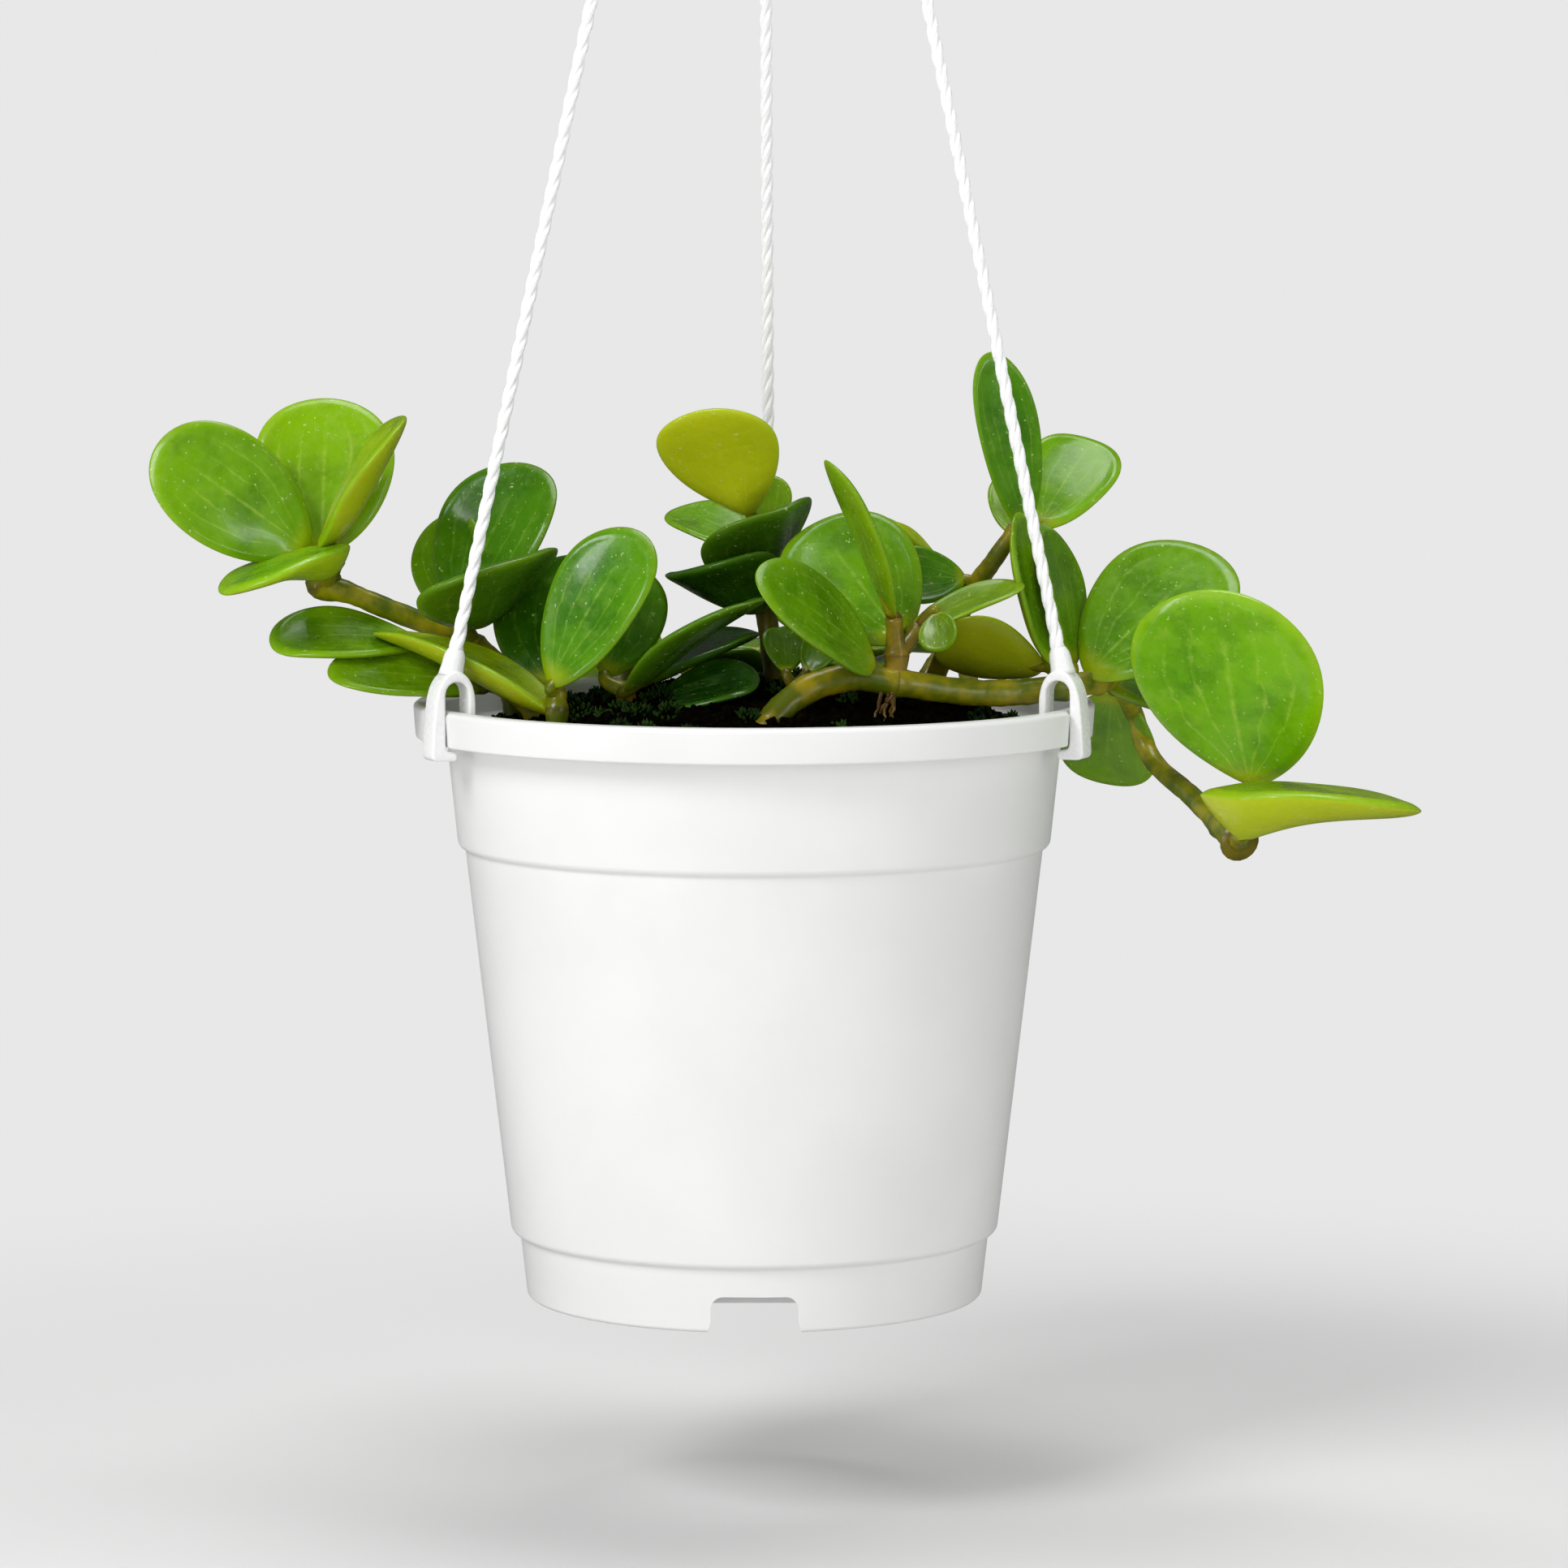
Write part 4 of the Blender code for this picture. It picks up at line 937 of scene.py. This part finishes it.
def add_petiole(shape, node, leaf, form, age):
    """A leaf stalk from the stem that runs on beneath the blade as its midrib, or joins its funnel."""
    base, length, along, normal, aside = blade_frame(leaf)
    tone = (leaf.bright, leaf.yellow, 0)
    if form.shield:
        foot = base + along * length * form.keel_at - normal * form.keel * 0.75
        stalk = node + (foot - node) * np.linspace(0, 1, 5)[:, None]
        shape.tube(stalk, np.linspace(*SHIELD_STALK, 5), STALK_SIDES, 1, (0, age, 0), tone)
        return
    slack = STALK_SLACK * norm(base - node)
    pull = base - along * slack
    reach = np.linspace(0, 1, STALK_POINTS)
    path = [node * (1 - t) ** 2 + pull * 2 * t * (1 - t) + base * t * t for t in reach]
    for u in np.linspace(0, STALK_REACH, RIB_POINTS + 1)[1:]:
        path.append(base + along * u * length
                    + normal * (leaf.bend * length * (0.25 - (u - 0.5) ** 2) - 0.45 - 0.2 * u))
    radii = [1 + STALK_FLARE * (1 - t) ** 2 for t in reach]
    radii += [RIB_TAPER[0] - RIB_TAPER[1] * t for t in np.linspace(0, 1, RIB_POINTS)]
    scale = STALK_RADIUS * (0.55 + 0.45 * min(leaf.width / FULL_STALK, 1))
    place = np.zeros((len(path), 3))
    place[:, 0] = np.linspace(0, 12, len(path))
    place[:STALK_POINTS, 1] = (1 - reach) * age
    shape.tube(path, np.array(radii) * scale, STALK_SIDES, 1, place, tone)


def add_stem(shape, points, radii, rings_at, age, bright=0.5):
    """A jointed stem: its radius swells a little at each node."""
    path = smooth_route(points, STEM_PIECES)
    thick = smooth_route(np.array(radii)[:, None], STEM_PIECES)[:, 0]
    marks = np.zeros(len(path))
    for mark in rings_at:
        away = norm(path - mark, axis=1)
        marks = np.maximum(marks, np.exp(-(away / JOINT_REACH) ** 2))
    travel = np.concatenate([[0], np.cumsum(norm(np.diff(path, axis=0), axis=1))])
    place = np.stack([travel, np.interp(travel, (0, travel[-1]), age), marks], axis=-1)
    knobs = 0.05 * np.sin(travel * 1.9) * np.sin(travel * 0.83 + 1)
    shape.tube(path, thick * (1 + JOINT_SWELL * marks + knobs), STEM_SIDES, 1, place, (bright, 0.5, 0))


def add_roots(shape, rng):
    """Thin air roots that run down from the main stem's first joint into the mix."""
    for root in range(ROOT_COUNT):
        start = np.array(ROOT_START) + [*(rng.uniform(*reach) for reach in ROOT_FROM), 0]
        stop = start + [rng.uniform(*reach) for reach in ROOT_RUN]
        path = [start + (stop - start) * t for t in np.linspace(0, 1, ROOT_POINTS)]
        path = np.array(path) + [[rng.uniform(-ROOT_WANDER, ROOT_WANDER) for axis in range(3)]
                                 for point in path]
        shape.tube(path, np.linspace(*ROOT_RADII, ROOT_POINTS), 8, 1, (0, 0.9, 0), (0.5, 0.5, 0))


def leaf_material():
    look = Shading("fleshy_leaf", 0.3, 0.27)
    mix, span, times = look.mix, look.span, look.times
    look.give("Coat Weight", 0.32)
    look.give("Coat Roughness", 0.12)
    place = look.values("place")
    tone = look.values("tone")
    u, t, r = place

    # A colour between its dark and bright kinds by the leaf's brightness: partly the leaf's own tone,
    # partly painted shade on leaves deep in the plant
    def toned(dark, bright):
        return mix(tone[0], dark, bright)

    broad = look.noise(42)
    wide = look.noise(120, 4, 0.6)
    mottle = look.noise(420, 6, 0.65)
    fine = look.noise(1500)
    bent = look.math("ADD", t, span(wide, 0.25, 0.75, -0.05, 0.05))
    vein = span(t, 0, 0.05, 1, 0)
    for share, start in ((0.36, 0.03), (0.68, 0)):
        rise = look.math("EXPONENT", times(look.math("SUBTRACT", u, start), -5.5))
        run = times(look.math("SUBTRACT", 1, rise), share)
        off = look.math("ABSOLUTE", look.math("SUBTRACT", bent, run))
        line = span(off, 0, 0.035, 0.8, 0)
        inner = times(line, span(u, start, start + 0.1))
        vein = look.math("MAXIMUM", vein, inner)
    vein = times(vein, span(u, 0.5, 0.9, 1, 0.1))
    vein = times(vein, span(mottle, 0.38, 0.6, 0.35, 1))
    green = toned((0.004, 0.036, 0.0004), (0.06, 0.262, 0.0004))
    lighter = toned((0.013, 0.08, 0.0008), (0.15, 0.44, 0.001))
    patch = look.math("ADD", times(broad, 0.5), times(wide, 0.5))
    body = mix(span(patch, 0.36, 0.62), green, lighter)
    deep = times(span(wide, 0.52, 0.36), 0.3)
    body = mix(deep, body, toned((0.002, 0.02, 0.0004), (0.06, 0.22, 0.0004)))
    rim = times(span(r, 0.5, 0.95), 0.35)
    body = mix(rim, body, toned((0.024, 0.105, 0.001), (0.2, 0.47, 0.001)))
    pale = times(span(mottle, 0.5, 0.66), 0.3)
    body = mix(pale, body, toned((0.05, 0.15, 0.006), (0.27, 0.49, 0.025)))
    golden = times(span(patch, 0.35, 0.62, 0.55, 1), tone[1])
    body = mix(golden, body, (0.4, 0.45, 0.001))
    veined = toned((0.12, 0.3, 0.02), (0.56, 0.74, 0.1))
    body = mix(times(vein, 0.34), body, veined)
    foot = span(u, 0, 0.17, 0.75, 0)
    body = mix(foot, body, (0.4, 0.43, 0.002))
    edge = times(span(r, 0.9, 0.985), 0.6)
    body = mix(edge, body, toned((0.045, 0.14, 0.003), (0.29, 0.5, 0.008)))
    below = times(span(tone[2], 0.2, -0.2), span(tone[1], 0, 0.5, 0.15, 0.75))
    beneath = toned((0.06, 0.13, 0.003), (0.45, 0.5, 0.008))
    body = mix(below, body, beneath)
    speck = times(span(fine, 0.68, 0.73), 0.6)
    body = mix(speck, body, (0.55, 0.68, 0.28))
    look.give("Base Color", body)
    look.give("Roughness", span(mottle, 0.35, 0.65, 0.24, 0.42))
    ripple = look.noise(210, 3)
    height = look.math("ADD", times(ripple, 0.6), times(mottle, 0.13))
    height = look.math("ADD", height, times(fine, 0.03))
    height = look.math("SUBTRACT", height, times(vein, 0.06))
    look.bump(height, 0.0006, 0.55)
    look.give("Subsurface Weight", 0.1)
    look.give("Subsurface Radius", (0.5, 0.8, 0.1))
    look.give("Subsurface Scale", 0.0015)
    return look.material


def stem_material():
    look = Shading("jointed_stem", 0.28)
    place = look.values("place")
    tone = look.values("tone")
    patch = look.noise(170, 4, 0.6)
    fine = look.noise(1300, 3, 0.6)
    cloud = look.span(patch, 0.35, 0.7)
    olive = look.mix(cloud, (0.085, 0.125, 0.002), (0.34, 0.3, 0.004))
    brown = look.mix(cloud, (0.07, 0.032, 0.003), (0.24, 0.155, 0.008))
    aged = look.span(look.math("ADD", place[1], look.times(patch, 0.5)), 0.5, 1.15)
    body = look.mix(aged, olive, brown)
    ring = look.times(look.span(place[2], 0.8, 1), 0.6)
    body = look.mix(ring, body, (0.08, 0.045, 0.01))
    speck = look.times(look.span(fine, 0.66, 0.76), 0.5)
    body = look.mix(speck, body, (0.06, 0.05, 0.006))
    # Low brightness darkens a stem or stalk towards black: painted shade where it sits deep in the plant
    lit = look.span(tone[0], 0, 0.5, 0.25, 1)
    look.give("Base Color", look.mix(lit, (0.008, 0.007, 0.001), body))
    height = look.math("ADD", look.times(patch, 0.5), look.times(fine, 0.12))
    look.bump(height, 0.0006, 0.5)
    look.give("Subsurface Weight", 0.08)
    look.give("Subsurface Scale", 0.001)
    return look.material


def add_foliage():
    materials = [leaf_material(), stem_material()]
    rng = random.Random(11)
    for name, spec in STEMS.items():
        nodes = [np.array(point, float) for point, radius in spec.route]
        radii = [radius for point, radius in spec.route]
        shape = Shape()
        leaves = [Leaf(*row) for row in spec.leaves]
        marks = [nodes[index] for index in {leaf.node for leaf in leaves} if index < len(nodes)]
        ground = [np.array((*spec.root, height), float) for height in (-STEM_DEPTH, STEM_FOOT_Z)]
        add_stem(shape, ground + nodes, radii[:1] * 2 + radii, marks, spec.age, spec.bright)
        for start, route in spec.branches:
            points = [nodes[start]] + [np.array(point, float) for point, radius in route]
            radii = [radius for point, radius in route]
            add_stem(shape, points, radii[:1] + radii, points[1:], BRANCH_AGE)
            nodes += points[1:]
        for index, leaf in enumerate(leaves):
            form = FORMS.get((name, index), Form())
            add_blade(shape, leaf, form, rng)
            age = STALK_AGE if leaf.node < len(spec.route) else BRANCH_STALK_AGE
            add_petiole(shape, nodes[leaf.node], leaf, form, age)
        if name == "stem_main":
            add_roots(shape, random.Random(31))
        add_piece("leafy_" + name, shape.mesh("leafy_" + name), materials, "foliage", name)


# Potting mix and moss

# The mix is heaped above the rim in the middle so its dark top hides the pot's far wall: a dark surface
# standing in for the shade between the stems, as painted shade
SOIL_TOP = 2.6
SOIL_FALL = 9.5
SOIL_RADIUS = 52
SOIL_SEGMENTS = 160
SOIL_RINGS = np.linspace(0.5, 51.5, 60)
CRUMB_COUNT = 1500
CRUMB_SIZE = (0.3, 1.3)
CRUMB_ROUGH = (0.75, 1.2)
CRUMB_REACH = 50.5
CRUMB_STAND = 0.2
CRUMB_TILTS = (0.5, 1.2, 1.9, 2.6)
CRUMB_SIDES = 6
MOSS_CLUMPS = 70
MOSS_REACH = 49
MOSS_EDGE = 50
MOSS_SPREAD = (1.2, 3.2)
MOSS_SPROUTS = 18
MOSS_RADII = (0.16, 0.3, 0.05)
MOSS_HEIGHTS = (0.4, 1)
MOSS_LENGTHS = (0.7, 1.6)
MOSS_LEAN = 0.6
MOSS_SINK = 0.3
MOSS_SHADES = 0.3
SOIL_SIDE = [(52, -10), (49, -26), (39.6, -96), (38.2, FLOOR_TOP_Z + GAP)]


def soil_height(x, y):
    away = np.hypot(x, y)
    lumps = 0.35 * np.sin(x * 0.9 + 1.7 * np.sin(y * 0.53)) * np.cos(y * 0.8 + 1.3 * np.sin(x * 0.47))
    return SOIL_TOP - SOIL_FALL * (away / SOIL_RADIUS) ** 2.2 + lumps


def scattered(rng, reach):
    """A random place within that reach of the pot's axis."""
    away = reach * math.sqrt(rng.random())
    angle = rng.uniform(0, math.tau)
    return away * math.sin(angle), -away * math.cos(angle)


def soil_material():
    look = Shading("peat", 1, 0.02)
    fine = look.noise(900, 6, 0.7)
    # Near black: partly the peat's own dark colour, partly painted shade from the plant above it
    colour = look.mix(look.span(fine, 0.35, 0.75), (0.0012, 0.001, 0.0005), (0.011, 0.008, 0.003))
    look.give("Base Color", colour)
    look.bump(fine, 0.002)
    return look.material


def moss_material():
    look = Shading("moss", 0.7, 0.15)
    tone = look.values("tone")
    fine = look.noise(2500)
    green = look.mix(tone[0], (0.001, 0.005, 0.0005), (0.022, 0.06, 0.003))
    look.give("Base Color", look.mix(look.span(fine, 0.4, 0.7), green, (0.008, 0.03, 0.002)))
    return look.material


def add_soil():
    shape = Shape()
    angles = turns(SOIL_SEGMENTS)
    rings = []
    for radius, height in [(radius, None) for radius in SOIL_RINGS] + SOIL_SIDE:
        x, y = radius * np.sin(angles), -radius * np.cos(angles)
        z = soil_height(x, y) if height is None else np.full(SOIL_SEGMENTS, height)
        rings.append(np.stack([x, y, z], axis=-1))
    shape.loft(rings)
    rng = random.Random(5)
    for crumb in range(CRUMB_COUNT):
        x, y = scattered(rng, CRUMB_REACH)
        centre = np.array((x, y, soil_height(x, y) + CRUMB_STAND))
        size = rng.uniform(*CRUMB_SIZE)
        rough = []
        for tilt in CRUMB_TILTS:
            ring = []
            for step in range(CRUMB_SIDES):
                turn = math.tau * step / CRUMB_SIDES
                reach = size * rng.uniform(*CRUMB_ROUGH)
                ring.append(centre + reach * np.array((math.sin(tilt) * math.cos(turn),
                                                       math.sin(tilt) * math.sin(turn), math.cos(tilt))))
            rough.append(ring)
        shape.loft(rough)
    add_piece("crumbly_mix", shape.mesh("crumbly_mix"), [soil_material()], "potting_mix", "potting_mix")


def add_moss():
    shape = Shape()
    rng = random.Random(23)
    for clump in range(MOSS_CLUMPS):
        x, y = scattered(rng, MOSS_REACH)
        spread = rng.uniform(*MOSS_SPREAD)
        height = rng.uniform(*MOSS_HEIGHTS) * spread
        bright = rng.uniform(0.1, 1)
        for sprout in range(int(MOSS_SPROUTS * spread)):
            out = spread * math.sqrt(rng.random())
            way = rng.uniform(0, math.tau)
            px, py = x + out * math.cos(way), y + out * math.sin(way)
            if math.hypot(px, py) > MOSS_EDGE:
                continue
            dome = height * (1 - (out / spread) ** 2)
            root = np.array((px, py, float(soil_height(px, py)) + dome - MOSS_SINK))
            lean = [wave(way) * out / spread + rng.uniform(-MOSS_LEAN, MOSS_LEAN)
                    for wave in (math.cos, math.sin)]
            lean = unit(np.array((*lean, 1)))
            long = rng.uniform(*MOSS_LENGTHS)
            tone = (min(max(bright + rng.uniform(-MOSS_SHADES, MOSS_SHADES), 0), 1), 0, 0)
            path = [root, root + lean * long * 0.5, root + lean * long]
            shape.tube(path, MOSS_RADII, 4, 0, (0, 0, 0), tone)
    add_piece("moss_tufts", shape.mesh("moss_tufts"), [moss_material()], "potting_mix")


add_camera()
add_strands()
add_studio()
add_pot()
glossy_plastic = plastic_material("glossy_plastic", 0.24, (0.9, 0.9, 0.9), 0.00001)
add_clips(glossy_plastic)
add_hook(glossy_plastic)
add_foliage()
add_soil()
add_moss()
